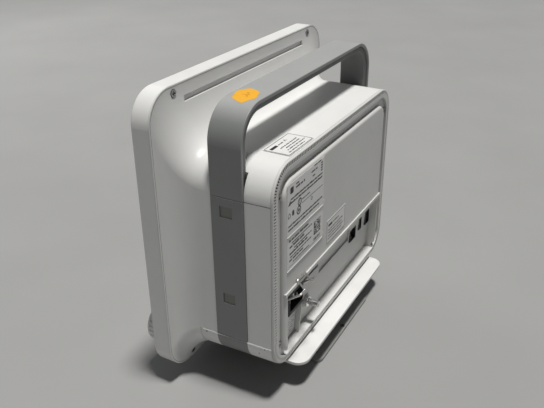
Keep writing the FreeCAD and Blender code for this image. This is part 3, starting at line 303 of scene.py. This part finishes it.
# Painted shade: the rear cover is the same white plastic, darkened to the shade its rear face gets.
PANEL_WHITE_IN_SHADE = (0.67, 0.67, 0.655)
# The pale shade for up-facing grey faces: dust and a painted sheen.
DUST_AND_SHEEN = (0.66, 0.66, 0.645)
BLACK = (0.018, 0.018, 0.019)


def grey_band(paint, base):
    """The grey band is moulded on around the bottom cover, in line with the band on the side."""
    band_low, band_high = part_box("side_band")
    along = paint.axes()["Y"]
    after = paint.math("GREATER_THAN", along, band_low.y)
    before = paint.math("LESS_THAN", along, band_high.y)
    return paint.blend(paint.times(after, before), base, GREY)


def dust_and_sheen(paint, base):
    """Fine dust and a painted sheen pale the faces that look up, so tops read lighter than sides."""
    normal = paint.axes(paint.node("ShaderNodeNewGeometry").outputs["Normal"])
    top_sheen_mask = paint.spread(normal["Z"], 0.6, 0.98)
    return paint.blend(paint.times(top_sheen_mask, 0.32), base, DUST_AND_SHEEN)


white = moulded("white_shell", WHITE, 0.34)
bezel_white = moulded("bezel_shell", WHITE, 0.36, 0.00002)
bottom_white = moulded("bottom_shell", WHITE, tint=grey_band)
# The rear cover's white carries painted shade, and its crevices get more painted shade and grime.
cover_white_in_shade = moulded("rear_shell", PANEL_WHITE_IN_SHADE, 0.46, seam_shade_and_grime=0.55)
knob_white = moulded("knob_shell", scaled(WHITE, 0.98), 0.4, seam_shade_and_grime=0.6)
# The grey band's tops are paled by dust and a painted sheen.
grey = moulded("grey_band", GREY, 0.44, wear=0.25, tint=dust_and_sheen)
# Painted shade: the handle's inner liner is the same grey as the hoop, darkened to the shade it sits in.
core_grey_in_shade = moulded("handle_core", scaled(GREY, 0.55), 0.5, wear=0.2)
key_grey = moulded("key_caps", (0.50, 0.52, 0.53), 0.5)
black = moulded("black_moulding", BLACK, 0.5, wear=0.12, seam_shade_and_grime=0.1, scuffs=0.1)
window = moulded("window_pad", (0.20, 0.205, 0.185), 0.36, wear=0.1)
module_case = moulded("module_case", (0.10, 0.10, 0.11), 0.5)
steel = metal("plated_steel", (0.80, 0.79, 0.77), 0.26)
wire = metal("polished_wire", (0.93, 0.92, 0.90), 0.34, recess_shade=0.0)
# The screws' recesses get deep painted shade.
zinc = metal("screw_zinc", (0.38, 0.38, 0.38), 0.33, recess_shade=0.85)
sheet = metal("zinc_sheet", (0.60, 0.61, 0.62), 0.36, fineness=(900, 60, 60))
anodised = metal("anodised_fins", (0.20, 0.20, 0.21), 0.42)
gold = metal("contact_gold", (0.83, 0.62, 0.25), 0.28)
base_paint = coated("base_paint", (0.75, 0.75, 0.735), 0.40)
plate_paint = coated("plate_paint", (0.29, 0.295, 0.285), 0.45)
green = board("solder_mask", (0.010, 0.085, 0.040))
label_film = paper("label_film", (0.80, 0.80, 0.79))
sticker_orange = paper("sticker_orange", (0.84, 0.42, 0.02), 0.6)
sensor_print = paper("sensor_print", (0.72, 0.72, 0.71))
black_ink = ink("print_ink", (0.012, 0.012, 0.013))
grey_ink = ink("grey_print", (0.16, 0.165, 0.17))
sticker_ink = ink("sticker_ink", (0.30, 0.10, 0.01))

# Each material above with the nodes that take it.
SHARED = (
    (white, ("rear_housing",)),
    (bezel_white, ("front_bezel",)),
    (bottom_white, ("bottom_cover",)),
    (cover_white_in_shade, ("rear_cover",)),
    (knob_white, ("trim_knob",)),
    (grey, ("handle_hoop", "side_band", "bottom_band")),
    (core_grey_in_shade, ("handle_core",)),
    (window, ("band_window_pads",)),
    (key_grey, ("standby_key", "key_silence", "key_pause", "key_freeze", "key_pressure", "key_menu")),
    (black, ("mount_block", "base_spacers", "lcd_panel", "encoder_body", "encoder_rotor", "battery_pack",
             "cuff_pump", "speaker", "ac_inlet", "usb_jack", "serial_jack", "network_jack")),
    (module_case, ("parameter_module",)),
    (steel, ("knob_shaft", "ground_stud", "inlet_pins")),
    (wire, ("inlet_bail",)),
    (zinc, ("encoder_nut", "bezel_screws", "rear_cover_screws", "bottom_screws", "handle_screws")),
    (sheet, ("lcd_bracket", "chassis_plate")),
    (anodised, ("heat_sink",)),
    (base_paint, ("base_plate",)),
    (plate_paint, ("mount_plate",)),
    (green, ("alarm_led_board", "key_board", "main_board", "io_board", "power_supply")),
    (label_film, ("labels",)),
)
FINISH = {node: material for material, names in SHARED for node in names}
FINISH["touch_glass"] = glass_black()
FINISH["display_seal"] = rubber("seal_foam", (0.02, 0.02, 0.02))
FINISH["alarm_lens_front"] = frosted("alarm_lens", (0.82, 0.83, 0.84))
# Painted light: a faint emission brightens the rear alarm window, which sits in a shaded slot.
FINISH["alarm_lens_rear"] = frosted("alarm_window", (0.80, 0.80, 0.79), 0.035)
FINISH["status_lights"] = frosted("light_pipe", (0.60, 0.66, 0.60))
FINISH["sensor_panel"] = moulded("sensor_panel", (0.13, 0.135, 0.14), 0.45, wear=0.2)
for node, name, color in (("ecg_socket", "socket_green", (0.04, 0.22, 0.09)),
                          ("spo2_socket", "socket_blue", (0.03, 0.09, 0.32)),
                          ("temp_socket", "socket_brown", (0.16, 0.08, 0.035)),
                          ("ibp_socket", "socket_red", (0.34, 0.03, 0.03)),
                          ("cuff_port", "cuff_port", (0.20, 0.205, 0.21))):
    FINISH[node] = moulded(name, color, 0.4, wear=0.2)
for name, obj in nodes.items():
    obj.data.materials.clear()
    obj.data.materials.append(FINISH[name])


# ---------------------------------------------------------------- tools for thin pieces
def add_piece(name, mesh, material, body="monitor"):
    """Makes an object of a bmesh, gives it its material and lets it ride on a body."""
    data = bpy.data.meshes.new(name)
    mesh.to_mesh(data)
    mesh.free()
    data.materials.append(material)
    piece = bpy.data.objects.new(name, data)
    bpy.context.collection.objects.link(piece)
    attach(piece, body)
    return piece


def arc_point(u, v, radius, angle):
    """A point on a circle around (u, v), its angle in degrees."""
    return u + radius * math.cos(math.radians(angle)), v + radius * math.sin(math.radians(angle))


class Print:
    """Thin shapes that lie on a flat face: u runs along the face and v up it, both in millimetres."""

    SUNK = -0.02  # where a shape's back lies, under the face

    def __init__(self, origin, along, up, high=0.05):
        self.mesh = bmesh.new()
        self.origin = Vector(origin)
        self.along = Vector(along).normalized()
        self.up = Vector(up).normalized()
        self.out = self.along.cross(self.up)
        self.high = high

    def place(self, u, v, out):
        return (self.origin + self.along * u + self.up * v + self.out * out) * MM

    def shape(self, outline):
        """A low closed plate with an outline that runs anticlockwise."""
        low_ring = [self.mesh.verts.new(self.place(u, v, self.SUNK)) for u, v in outline]
        top_ring = [self.mesh.verts.new(self.place(u, v, self.high)) for u, v in outline]
        count = len(outline)
        for i in range(count):
            j = (i + 1) % count
            self.mesh.faces.new((low_ring[i], low_ring[j], top_ring[j], top_ring[i]))
        self.mesh.faces.new(top_ring)
        self.mesh.faces.new(list(reversed(low_ring)))

    def bar(self, left, right, low, high):
        self.shape([(left, low), (right, low), (right, high), (left, high)])

    def rounded_bar(self, left, right, low, high, radius):
        self.shape(rounded_outline([(left, low), (right, low), (right, high), (left, high)], radius))

    def line(self, start, end, width):
        """A straight stroke with round ends."""
        first, last = Vector(start), Vector(end)
        way = (last - first).normalized()
        side = Vector((-way.y, way.x))
        outline = []
        for centre, start_angle in ((last, -90), (first, 90)):
            for step in range(6):
                turn = math.radians(start_angle + 36 * step)
                outline.append(centre + (way * math.cos(turn) + side * math.sin(turn)) * width / 2)
        self.shape([tuple(corner) for corner in outline])

    def stroke(self, points, width):
        for start, end in zip(points, points[1:]):
            self.line(start, end, width)

    def disc(self, u, v, radius, sides=28):
        self.shape([(u + radius * math.cos(math.tau * i / sides), v + radius * math.sin(math.tau * i / sides))
                    for i in range(sides)])

    def arc(self, u, v, radius, width, start=0, sweep=360, steps=32):
        """A ring or a piece of one, angles in degrees."""
        angles = [start + sweep * i / steps for i in range(steps + 1)]
        outer = [arc_point(u, v, radius + width / 2, angle) for angle in angles]
        inner = [arc_point(u, v, radius - width / 2, angle) for angle in angles]
        for i in range(steps):
            self.shape([inner[i], outer[i], outer[i + 1], inner[i + 1]])

    def frame(self, left, right, low, high, width, radius=1.0, steps=5):
        """A rectangular outline with round corners."""
        rings = []
        for inset in (0.0, width):
            bend = max(radius - inset, 0.05)
            far_left, far_right = left + inset + bend, right - inset - bend
            far_low, far_high = low + inset + bend, high - inset - bend
            ring = []
            for u, v, first in ((far_right, far_low, -90), (far_right, far_high, 0),
                                (far_left, far_high, 90), (far_left, far_low, 180)):
                ring += [arc_point(u, v, bend, first + 90 * i / steps) for i in range(steps + 1)]
            rings.append(ring)
        outer, inner = rings
        count = len(outer)
        for i in range(count):
            j = (i + 1) % count
            self.shape([outer[i], outer[j], inner[j], inner[i]])

    def words(self, left, right, low, tall, dice, gap=0.4):
        """A row of small upright ticks in groups, as lines of small print look from a little way off."""
        at = left
        while at < right - tall:
            for _ in range(dice.randint(3, 8)):
                wide = tall * dice.uniform(0.42, 0.72)
                if at + wide < right:
                    self.bar(at, at + wide, low, low + tall * dice.choice((0.74, 0.74, 1.0)))
                at += wide + 0.1 * tall
            at += gap * tall * dice.uniform(1.0, 2.2)

    def cells(self, left, low, size, columns, rows, dice):
        """A square pattern of random cells that encodes nothing. Its left column and lowest row are full."""
        share = 0.52
        for row in range(rows):
            run = None
            for column in range(columns + 1):
                on = column < columns and (column == 0 or row == 0 or dice.random() < share)
                if on and run is None:
                    run = column
                elif not on and run is not None:
                    foot = low + row * size
                    self.bar(left + run * size, left + column * size, foot, foot + size)
                    run = None

    def stripes(self, left, right, low, high, dice):
        """Upright bars of random widths that encode nothing."""
        at = left
        while at < right - 0.6:
            wide = dice.choice((0.35, 0.35, 0.7, 1.05))
            self.bar(at, min(at + wide, right), low, high)
            at += wide + dice.choice((0.35, 0.5, 0.8))

    def done(self, name, material, body="monitor"):
        return add_piece(name, self.mesh, material, body)


def rounded_outline(corners, radius, steps=5):
    """The corners of an outline, each cut back and bridged with a short curve."""
    outline = []
    count = len(corners)
    for i in range(count):
        before, corner, after = (Vector(corners[j % count]) for j in (i - 1, i, i + 1))
        start = corner + (before - corner).normalized() * radius
        end = corner + (after - corner).normalized() * radius
        for step in range(steps + 1):
            share = step / steps
            point = start * (1 - share) ** 2 + corner * 2 * share * (1 - share) + end * share * share
            outline.append((point.x, point.y))
    return outline


# ---------------------------------------------------------------- print on the labels
dice = random.Random(7)
UP, LEFTWARD, RIGHTWARD, REARWARD, FORWARD = (0, 0, 1), (-1, 0, 0), (1, 0, 0), (0, 1, 0), (0, -1, 0)
labels_low, labels_high = box_mm("labels")
FILM = 0.25
FILM_Y = labels_high.y
PANEL_Y = FILM_Y - FILM
LARGE_LABEL_X = labels_high.x - 0.5
RATING_Z, BATTERY_Z = 157.5, 125.5


def print_rating():
    """Short rows, plain marks and rings, all without wording."""
    rating = Print((LARGE_LABEL_X, FILM_Y, RATING_Z), LEFTWARD, UP)
    rating.rounded_bar(4.6, 10.2, 36.5, 42.0, 1.4)
    for left, right, low, tall in ((14.5, 22.0, 41.2, 1.5), (14.5, 31.0, 38.0, 1.9), (48.0, 62.0, 44.0, 1.4),
                                   (42.5, 54.5, 39.8, 1.5), (45.0, 51.0, 35.6, 1.5)):
        rating.words(left, right, low, tall, dice)
    for i in range(4):
        rating.bar(61.2, 64.4, 34.4 + 2.3 * i, 35.6 + 2.3 * i)
    rating.words(5.5, 64.5, 31.0, 1.7, dice, 0.22)
    rating.words(5.5, 65.5, 27.8, 1.7, dice, 0.22)
    rating.shape([(1.2, 27.2), (5.4, 27.2), (4.8, 31.4)])
    rating.arc(21.5, 23.0, 2.9, 1.1)
    rating.line((21.5, 21.5), (21.5, 24.5), 1.0)
    rating.arc(20.0, 16.2, 3.3, 1.1)
    rating.disc(20.0, 16.2, 1.5)
    rating.rounded_bar(8.0, 11.6, 16.0, 20.6, 1.2)
    rating.stroke([(1.4, 16.4), (1.4, 18.6), (3.2, 20.4), (5.0, 18.6), (5.0, 16.4), (1.4, 16.4)], 0.55)
    rating.line((26.0, 20.0), (65.0, 20.0), 0.45)
    rating.words(26.0, 40.0, 23.0, 1.1, dice)
    rating.arc(44.0, 16.4, 1.3, 0.5)
    rating.words(1.4, 65.5, 8.0, 1.6, dice, 0.25)
    rating.words(1.4, 60.5, 4.4, 1.6, dice, 0.25)
    rating.done("rating_print", black_ink)


def print_battery():
    """Rows of print, a square of random cells with stripes under it, and a rule at the foot."""
    battery = Print((LARGE_LABEL_X, FILM_Y, BATTERY_Z), LEFTWARD, UP)
    rows = ((3.0, 41.0, 2.2), (8.0, 46.0, 1.2), (4.0, 33.5, 2.3), (12.0, 46.0, 1.3),
            (4.0, 38.0, 2.2), (5.0, 45.0, 1.3), (3.5, 29.0, 2.0), (10.0, 41.0, 1.2))
    for row, (left, right, tall) in enumerate(rows):
        battery.words(left, right, 25.8 - 3.1 * row, tall, dice, 0.3)
    battery.cells(49.6, 9.5, 0.95, 14, 14, dice)
    battery.stripes(49.6, 63.0, 3.8, 6.4, dice)
    battery.line((3.0, 2.4), (64.0, 2.4), 0.3)
    battery.done("battery_print", black_ink)


def print_service():
    """A framed block of rows under a dark heading bar."""
    wide = 42.0
    service = Print((labels_low.x + wide, FILM_Y, labels_low.z), LEFTWARD, UP)
    service.frame(0.6, wide - 0.6, 0.6, 24.0, 0.45, 1.2)
    service.rounded_bar(3.2, 12.0, 17.4, 19.8, 0.8)
    service.words(14.0, 26.0, 18.0, 1.2, dice)
    for row in range(4):
        service.words(3.2, 37.0 - 3.0 * (row % 2), 13.6 - 3.1 * row, 1.1, dice)
    service.done("service_print", black_ink)


def print_top():
    """The label on the block's top: framed rows under a dark heading bar and a small chevron."""
    left_edge, tall = 92.5, 24.1
    top = Print((left_edge, labels_low.y + tall, labels_high.z), LEFTWARD, FORWARD)
    top.frame(0.5, 42.5, 0.5, tall - 0.5, 0.55, 1.2)
    top.rounded_bar(3.0, 13.5, 17.0, 20.0, 0.8)
    top.words(15.0, 23.0, 17.6, 1.3, dice)
    top.stroke([(25.5, 17.4), (27.0, 19.8), (28.5, 17.4)], 0.7)
    for row, (left, right) in enumerate([(9.0, 37.5), (13.0, 38.0), (9.5, 40.0), (6.0, 33.0)]):
        top.words(left, right, 12.6 - 3.2 * row, 1.2, dice)
    top.done("top_print", black_ink)


print_rating()
print_battery()
print_service()
print_top()


# ---------------------------------------------------------------- small details of the housing
def label_lips():
    """Raised lips under the two large labels catch the light from above."""
    for name, low in (("rating_lip", RATING_Z - 0.9), ("battery_lip", BATTERY_Z - 1.1)):
        lip = Print((labels_high.x, PANEL_Y, low), LEFTWARD, UP, 0.75)
        lip.line((0.5, 0.4), (68.2, 0.4), 0.8)
        lip.line((68.2, 0.4), (69.2, 4.5), 0.7)
        lip.done(name, cover_white_in_shade)


def ejector_rings():
    """Marks that the mould's ejector pins leave on the rear panel."""
    marks = Print((0, PANEL_Y, 0), LEFTWARD, UP, 0.06)
    for x, z in ((-78, 188), (-88, 112), (-20, 188), (6, 150)):
        marks.arc(-x, z, 4.6, 0.3, steps=40)
    marks.done("ejector_rings", cover_white_in_shade)


def parting_gap_shade():
    """A painted dark line: the shade in the gap between the front frame and the rear housing, seen from
    behind.
    """
    shell_low, shell_high = box_mm("rear_housing")
    behind_bezel_y, inset, width, corner = -35.95, 1.2, 0.4, 25.8
    gap_shade_ring = Print((0, behind_bezel_y, 0), LEFTWARD, UP, 0.06)
    gap_shade_ring.frame(shell_low.x + inset, shell_high.x - inset, shell_low.z + inset, shell_high.z - inset,
                  width, corner, 16)
    # Painted shade: grey ink drawn along the parting gap.
    gap_shade_ring.done("parting_gap_shade", grey_ink)


label_lips()
ejector_rings()
parting_gap_shade()

# The bay's slanted plate: its lower and upper edges.
SLANT_LOW, SLANT_TOP = Vector((0, 46.5, 37.6)), Vector((0, 52.0, 102.0))


def on_slant(x, z):
    share = (z - SLANT_LOW.z) / (SLANT_TOP.z - SLANT_LOW.z)
    return x, SLANT_LOW.y + (SLANT_TOP.y - SLANT_LOW.y) * share, z


def bay_print():
    """A small label on the slanted plate, printed in rows, and plain marks beside the sockets."""
    slant_up = SLANT_TOP - SLANT_LOW
    label_corner = on_slant(93.0, 42.5)
    film = Print(label_corner, LEFTWARD, slant_up, 0.12)
    film.rounded_bar(0, 20.5, 0, 20.0, 1.0)
    film.done("bay_label", label_film)
    rows = Print(label_corner, LEFTWARD, slant_up, 0.17)
    for row in range(6):
        rows.words(1.6, 18.5 - 2.5 * (row % 2), 17.2 - 3.0 * row, 1.0, dice)
    rows.done("bay_label_print", grey_ink)

    network, usb, serial = 56.0, 76.0, 96.0
    marks = Print(on_slant(0.0, 90.0), LEFTWARD, slant_up)
    marks.frame(network - 3.4, network + 3.4, 0.6, 4.4, 0.5, 0.6)
    marks.line((network, 0.6), (network, -0.8), 0.5)
    marks.line((usb, -0.4), (usb, 4.4), 0.5)
    marks.stroke([(usb - 1.8, 2.8), (usb - 1.8, 1.6), (usb, 0.4), (usb + 1.8, 1.6), (usb + 1.8, 2.8)], 0.5)
    marks.frame(serial - 3.0, serial + 3.0, 0.6, 4.6, 0.5, 1.2)
    marks.done("port_marks", grey_ink)


bay_print()

# ---------------------------------------------------------------- sticker on the handle
# The radius of the handle's upper corners, and the X where they begin.
hoop_side, _, hoop_top = box_mm("handle_hoop")[1]
HOOP_ROUND = 30.5
BEND_START = hoop_side - HOOP_ROUND


def bend_over_corner(mesh):
    """Cuts a flat piece on the handle's top into strips and lays them down over the rounded corner."""
    first = int(BEND_START)
    for x in range(first, first + 14, 2):
        bmesh.ops.bisect_plane(mesh, geom=mesh.verts[:] + mesh.edges[:] + mesh.faces[:],
                               plane_co=(x * MM, 0, 0), plane_no=(1, 0, 0))
    for vert in mesh.verts:
        past = vert.co.x / MM - BEND_START
        if past > 0:
            vert.co.z -= (HOOP_ROUND - math.sqrt(HOOP_ROUND ** 2 - past ** 2)) * MM


def orange_sticker():
    """A six-sided sticker, set askew, with plain marks on it."""
    middle, long_way, short_way = Vector((92.5, 14.5)), Vector((0.95, 0.31)), Vector((-0.31, 0.95))
    half_long, half_wide = 17, 9.5
    hexagon = []
    for a, b in ((1, 0), (0.5, 1), (-0.5, 1), (-1, 0), (-0.5, -1), (0.5, -1)):
        hexagon.append(tuple(middle + long_way * half_long * a + short_way * half_wide * b))
    sticker = Print((0, 0, hoop_top), RIGHTWARD, REARWARD, 0.1)
    sticker.shape(rounded_outline(hexagon, 3.0))
    bend_over_corner(sticker.mesh)
    sticker.done("orange_sticker", sticker_orange)
    marks = Print((0, 0, hoop_top), RIGHTWARD, REARWARD, 0.14)
    for a, b in ((-4.0, 1.0), (3.5, 1.5)):
        spot = middle + long_way * a + short_way * b
        marks.disc(spot.x, spot.y, 1.0)
    marks.line(tuple(middle - short_way * 2.5), tuple(middle + short_way * 3.0), 0.8)
    marks.done("sticker_print", sticker_ink)


orange_sticker()


# ---------------------------------------------------------------- seams and dots on the sides
def seam_edge(name, start, end, z, tall, proud):
    """The rounded upper edge of a seam on a side: a narrow slope that faces up and outwards."""
    mesh = bmesh.new()
    ends = []
    for x, y in (start, end):
        out = math.copysign(proud, x)
        ends.append([mesh.verts.new(Vector(corner) * MM)
                     for corner in ((x - out, y, z), (x + out, y, z - tall), (x - out, y, z - tall))])
    for i in range(3):
        j = (i + 1) % 3
        mesh.faces.new((ends[0][i], ends[0][j], ends[1][j], ends[1][i]))
    mesh.faces.new(ends[0])
    mesh.faces.new(list(reversed(ends[1])))
    bmesh.ops.recalc_face_normals(mesh, faces=mesh.faces)
    add_piece(name, mesh, white)


def side_seams():
    """The sides draw in towards the rear, so a seam's two ends lie at different distances from the middle."""
    band_low, band_high = box_mm("side_band")
    band_x, inset = band_high.x, 0.3
    seam_edge("band_seam", (band_x, band_low.y + inset), (band_x, band_high.y - inset), band_high.z, 0.7, 0.3)
    cover_z = box_mm("bottom_cover")[1].z
    front_x, front_y, rear_x, rear_y = 128.72, -14.0, 127.44, 50.0
    seam_edge("cover_seam_right", (front_x, front_y), (rear_x, rear_y), cover_z, 0.6, 0.25)
    seam_edge("cover_seam_left", (-front_x, front_y), (-rear_x, rear_y), cover_z, 0.6, 0.25)


def side_dots():
    """Small dark spots on the right side, each at its own distance from the middle: painted shade standing in
    for small dimples, and a printed dot.
    """
    marks = Print((0, 0, 0), REARWARD, UP, 0.18)
    for x, y, z, radius in ((128.5, -10.5, 56.0, 0.9), (127.35, 47.5, 56.5, 0.7), (126.2, 41.5, 50.0, 0.8)):
        marks.origin.x = x
        marks.disc(y, z, radius, 16)
    marks.done("side_dots", grey_ink)


side_seams()
side_dots()


# ---------------------------------------------------------------- marks on the front
def bell(icon):
    icon.stroke([(-2.8, -1.9), (-1.9, -0.9), (-1.8, 0.8), (0, 2.6),
                 (1.8, 0.8), (1.9, -0.9), (2.8, -1.9), (-2.8, -1.9)], 0.5)
    icon.disc(0, -2.8, 0.55, 14)
    icon.line((-3.2, 3.2), (3.2, -3.2), 0.5)


def pause(icon):
    icon.bar(-1.9, -0.7, -2.6, 2.6)
    icon.bar(0.7, 1.9, -2.6, 2.6)


def frozen_trace(icon):
    icon.stroke([(-4.2, -0.6), (-2.2, -0.6), (-1.2, 2.4), (0.2, -2.6), (1.2, -0.6), (2.4, -0.6)], 0.5)
    icon.line((3.6, -2.8), (3.6, 2.8), 0.5)


def cuff(icon):
    icon.frame(-3.4, 0.8, -2.4, 2.4, 0.5, 1.0)
    icon.arc(2.4, 0.6, 1.3, 0.5)
    icon.stroke([(0.8, -1.4), (2.4, -1.4), (2.4, -0.8)], 0.5)


def menu(icon):
    for v in (-2.0, 0.0, 2.0):
        icon.line((-2.6, v), (2.6, v), 0.6)


def power(icon):
    icon.arc(0, 0, 3.2, 0.7, 125, 290)
    icon.line((0, 0.6), (0, 4.2), 0.7)


def key_mark(node, body, draw):
    """A plain mark in the middle of a key's face, which rides on the key."""
    middle = middle_mm(node)
    face_y = box_mm(node)[0].y
    icon = Print((middle.x, face_y, middle.z), RIGHTWARD, UP, 0.06)
    draw(icon)
    icon.done(body + "_mark", black_ink, body)


def lamp_marks():
    """Plain marks over the three status lamps: outlet, battery and fault."""
    bezel_face_y = box_mm("front_bezel")[0].y
    outlet, battery, fault = 74.0, 81.0, 88.0
    marks = Print((0, bezel_face_y, 46.5), RIGHTWARD, UP)
    marks.frame(outlet - 1.6, outlet + 1.6, 0.2, 2.0, 0.35, 0.4)
    marks.stroke([(battery - 0.8, 2.2), (battery, 1.0), (battery - 0.4, 1.0), (battery + 0.6, -0.2)], 0.35)
    marks.arc(fault, 1.0, 0.9, 0.35)
    marks.done("lamp_marks", grey_ink)


for node, body, draw in (("key_silence", "silence_cap", bell), ("key_pause", "pause_cap", pause),
                         ("key_freeze", "freeze_cap", frozen_trace), ("key_pressure", "pressure_cap", cuff),
                         ("key_menu", "menu_cap", menu), ("standby_key", "standby_cap", power)):
    key_mark(node, body, draw)
lamp_marks()


# ---------------------------------------------------------------- contacts in the sockets
def rod(mesh, start, end, radius, tip=0.0, sides=12):
    """Adds a rod between two points in millimetres, with a tapered tip at its end."""
    first, last = Vector(start), Vector(end)
    way = (last - first).normalized()
    across = way.orthogonal().normalized()
    other = way.cross(across)
    stations = [(first, radius), (last - way * tip, radius)]
    if tip:
        stations += [(last - way * tip * 0.3, radius * 0.82), (last, radius * 0.45)]
    rings = []
    for centre, reach in stations:
        ring = []
        for i in range(sides):
            turn = math.tau * i / sides
            outward = across * math.cos(turn) + other * math.sin(turn)
            ring.append(mesh.verts.new((centre + outward * reach) * MM))
        rings.append(ring)
    for low, high in zip(rings, rings[1:]):
        for i in range(sides):
            j = (i + 1) % sides
            mesh.faces.new((low[i], low[j], high[j], high[i]))
    mesh.faces.new(rings[-1])
    mesh.faces.new(list(reversed(rings[0])))


def socket_pins(socket, bore, count):
    """Contact pins stand in a ring in a sensor socket, between its core and its wall."""
    middle = middle_mm(socket)
    ring, root_x, tip_x = bore * 0.72, -120.2, -126.6
    pins = bmesh.new()
    for i in range(count):
        turn = math.tau * (i + 0.5) / count
        y, z = middle.y + ring * math.cos(turn), middle.z + ring * math.sin(turn)
        rod(pins, (root_x, y, z), (tip_x, y, z), bore * 0.09, 0.8)
    add_piece(socket + "_pins", pins, gold)


def sensor_marks():
    """Plain marks beside the sockets on the sensor panel."""
    marks = Print((box_mm("sensor_panel")[0].x, 0, 0), FORWARD, UP)
    left = -31.0
    for socket, wide in (("ecg_socket", 5.0), ("spo2_socket", 5.0), ("temp_socket", 4.0)):
        z = middle_mm(socket).z
        marks.frame(left, left + wide, z - 1.6, z + 1.6, 0.4, 0.8)
        marks.line((left + 0.8, z), (left - 0.8 + wide, z), 0.4)
    marks.arc(-33.0, 100.5, 1.6, 0.4)
    marks.line((-33.0, 102.1), (-33.0, 104.2), 0.4)
    marks.done("sensor_marks", sensor_print)


def jack_contacts():
    """Eight sprung wires in the network jack, four blades in the USB jack, ten pins in the serial jack."""
    network_x, usb_x, serial_x = (middle_mm(jack).x for jack in ("network_jack", "usb_jack", "serial_jack"))
    contacts = bmesh.new()
    for i in range(8):
        x = network_x - 3.57 + 1.02 * i
        rod(contacts, (x, 41.0, 74.6), (x, 49.4, 72.9), 0.2, 0, 6)
    blade_x = usb_x + 1.2
    for z in (78.8, 80.6, 82.4, 84.2):
        rod(contacts, (blade_x, 40.4, z), (blade_x, 49.0, z), 0.28, 0, 6)
    for row in range(5):
        z = 75.6 + 2.3 * row
        for x in (serial_x - 2.6, serial_x + 2.6):
            rod(contacts, (x, 40.2, z), (x, 46.0, z), 0.4, 0.6, 8)
    add_piece("jack_contacts", contacts, gold)


for socket, bore, count in (("ecg_socket", 6.0, 6), ("spo2_socket", 5.2, 5), ("temp_socket", 3.4, 4),
                            ("ibp_socket", 4.8, 5)):
    socket_pins(socket, bore, count)
sensor_marks()
jack_contacts()


# ---------------------------------------------------------------- floor, light, camera
def lay_floor():
    """A plain grey floor, a hair under the model's feet."""
    mesh = bmesh.new()
    bmesh.ops.create_grid(mesh, x_segments=1, y_segments=1, size=6)
    floor = bpy.data.objects.new("floor", bpy.data.meshes.new("floor"))
    mesh.to_mesh(floor.data)
    mesh.free()
    bpy.context.collection.objects.link(floor)
    paint = Paint("floor_paper", 0.85)
    shades = paint.clouded(5, 3, (0.295, 0.295, 0.292), (0.315, 0.315, 0.312))
    floor.data.materials.append(paint.finish(shades))
    floor.location.z = -0.0002


def light_world():
    """Soft light from all sides. The camera sees the sky brighter than the model does."""
    strength_on_model, strength_seen = 0.10, 0.42
    world = bpy.data.worlds.new("studio")
    world.use_nodes = True
    tree = world.node_tree
    air = tree.nodes["Background"]
    air.inputs["Color"].default_value = (0.92, 0.95, 1.0, 1)
    ray = tree.nodes.new("ShaderNodeLightPath")
    seen = tree.nodes.new("ShaderNodeMapRange")
    seen.inputs["To Min"].default_value = strength_on_model
    seen.inputs["To Max"].default_value = strength_seen
    tree.links.new(ray.outputs["Is Camera Ray"], seen.inputs["Value"])
    tree.links.new(seen.outputs["Result"], air.inputs["Strength"])
    bpy.context.scene.world = world


def aim(lamp, place, way):
    """Adds a lamp that shines along a direction."""
    obj = bpy.data.objects.new(lamp.name, lamp)
    obj.location = place
    obj.rotation_euler = Vector(way).to_track_quat("-Z", "Y").to_euler()
    bpy.context.collection.objects.link(obj)


def hang_lamps():
    """The key is high over the monitor, a little behind it. A sun lights the whole floor evenly."""
    key = bpy.data.lights.new("key_overhead", "SUN")
    key.energy = 3.4
    key.angle = math.radians(8)
    key.color = (1.0, 0.985, 0.96)
    aim(key, (0, 0, 0), (-0.01, -0.13, -1))
    fill = bpy.data.lights.new("fill_front", "AREA")
    fill.size = 1.2
    fill.energy = 5
    fill_place = Vector((-0.7, -1.5, 1.0))
    aim(fill, fill_place, Vector((0, 0, 0.15)) - fill_place)


def place_camera():
    """The camera stands to the right of the monitor, behind and above it, and is nearly upright."""
    place = (0.512543, 0.268498, 0.421039)
    look = Vector((-0.78016, -0.43091, -0.45350)).normalized()
    upright = Vector((-0.40096, -0.21202, 0.89122))
    camera = bpy.data.objects.new("camera", bpy.data.cameras.new("camera"))
    camera.data.sensor_width = 36
    camera.data.lens = 43.79
    camera.data.clip_start = 0.01
    right = look.cross(upright).normalized()
    up = right.cross(look)
    turn = Matrix((right, up, -look)).transposed()
    camera.matrix_world = Matrix.Translation(place) @ turn.to_4x4()
    bpy.context.collection.objects.link(camera)
    bpy.context.scene.camera = camera


lay_floor()
light_world()
hang_lamps()
place_camera()
# The picture is shown without a film curve, so that white plastic stays white.
bpy.context.scene.view_settings.view_transform = "Standard"
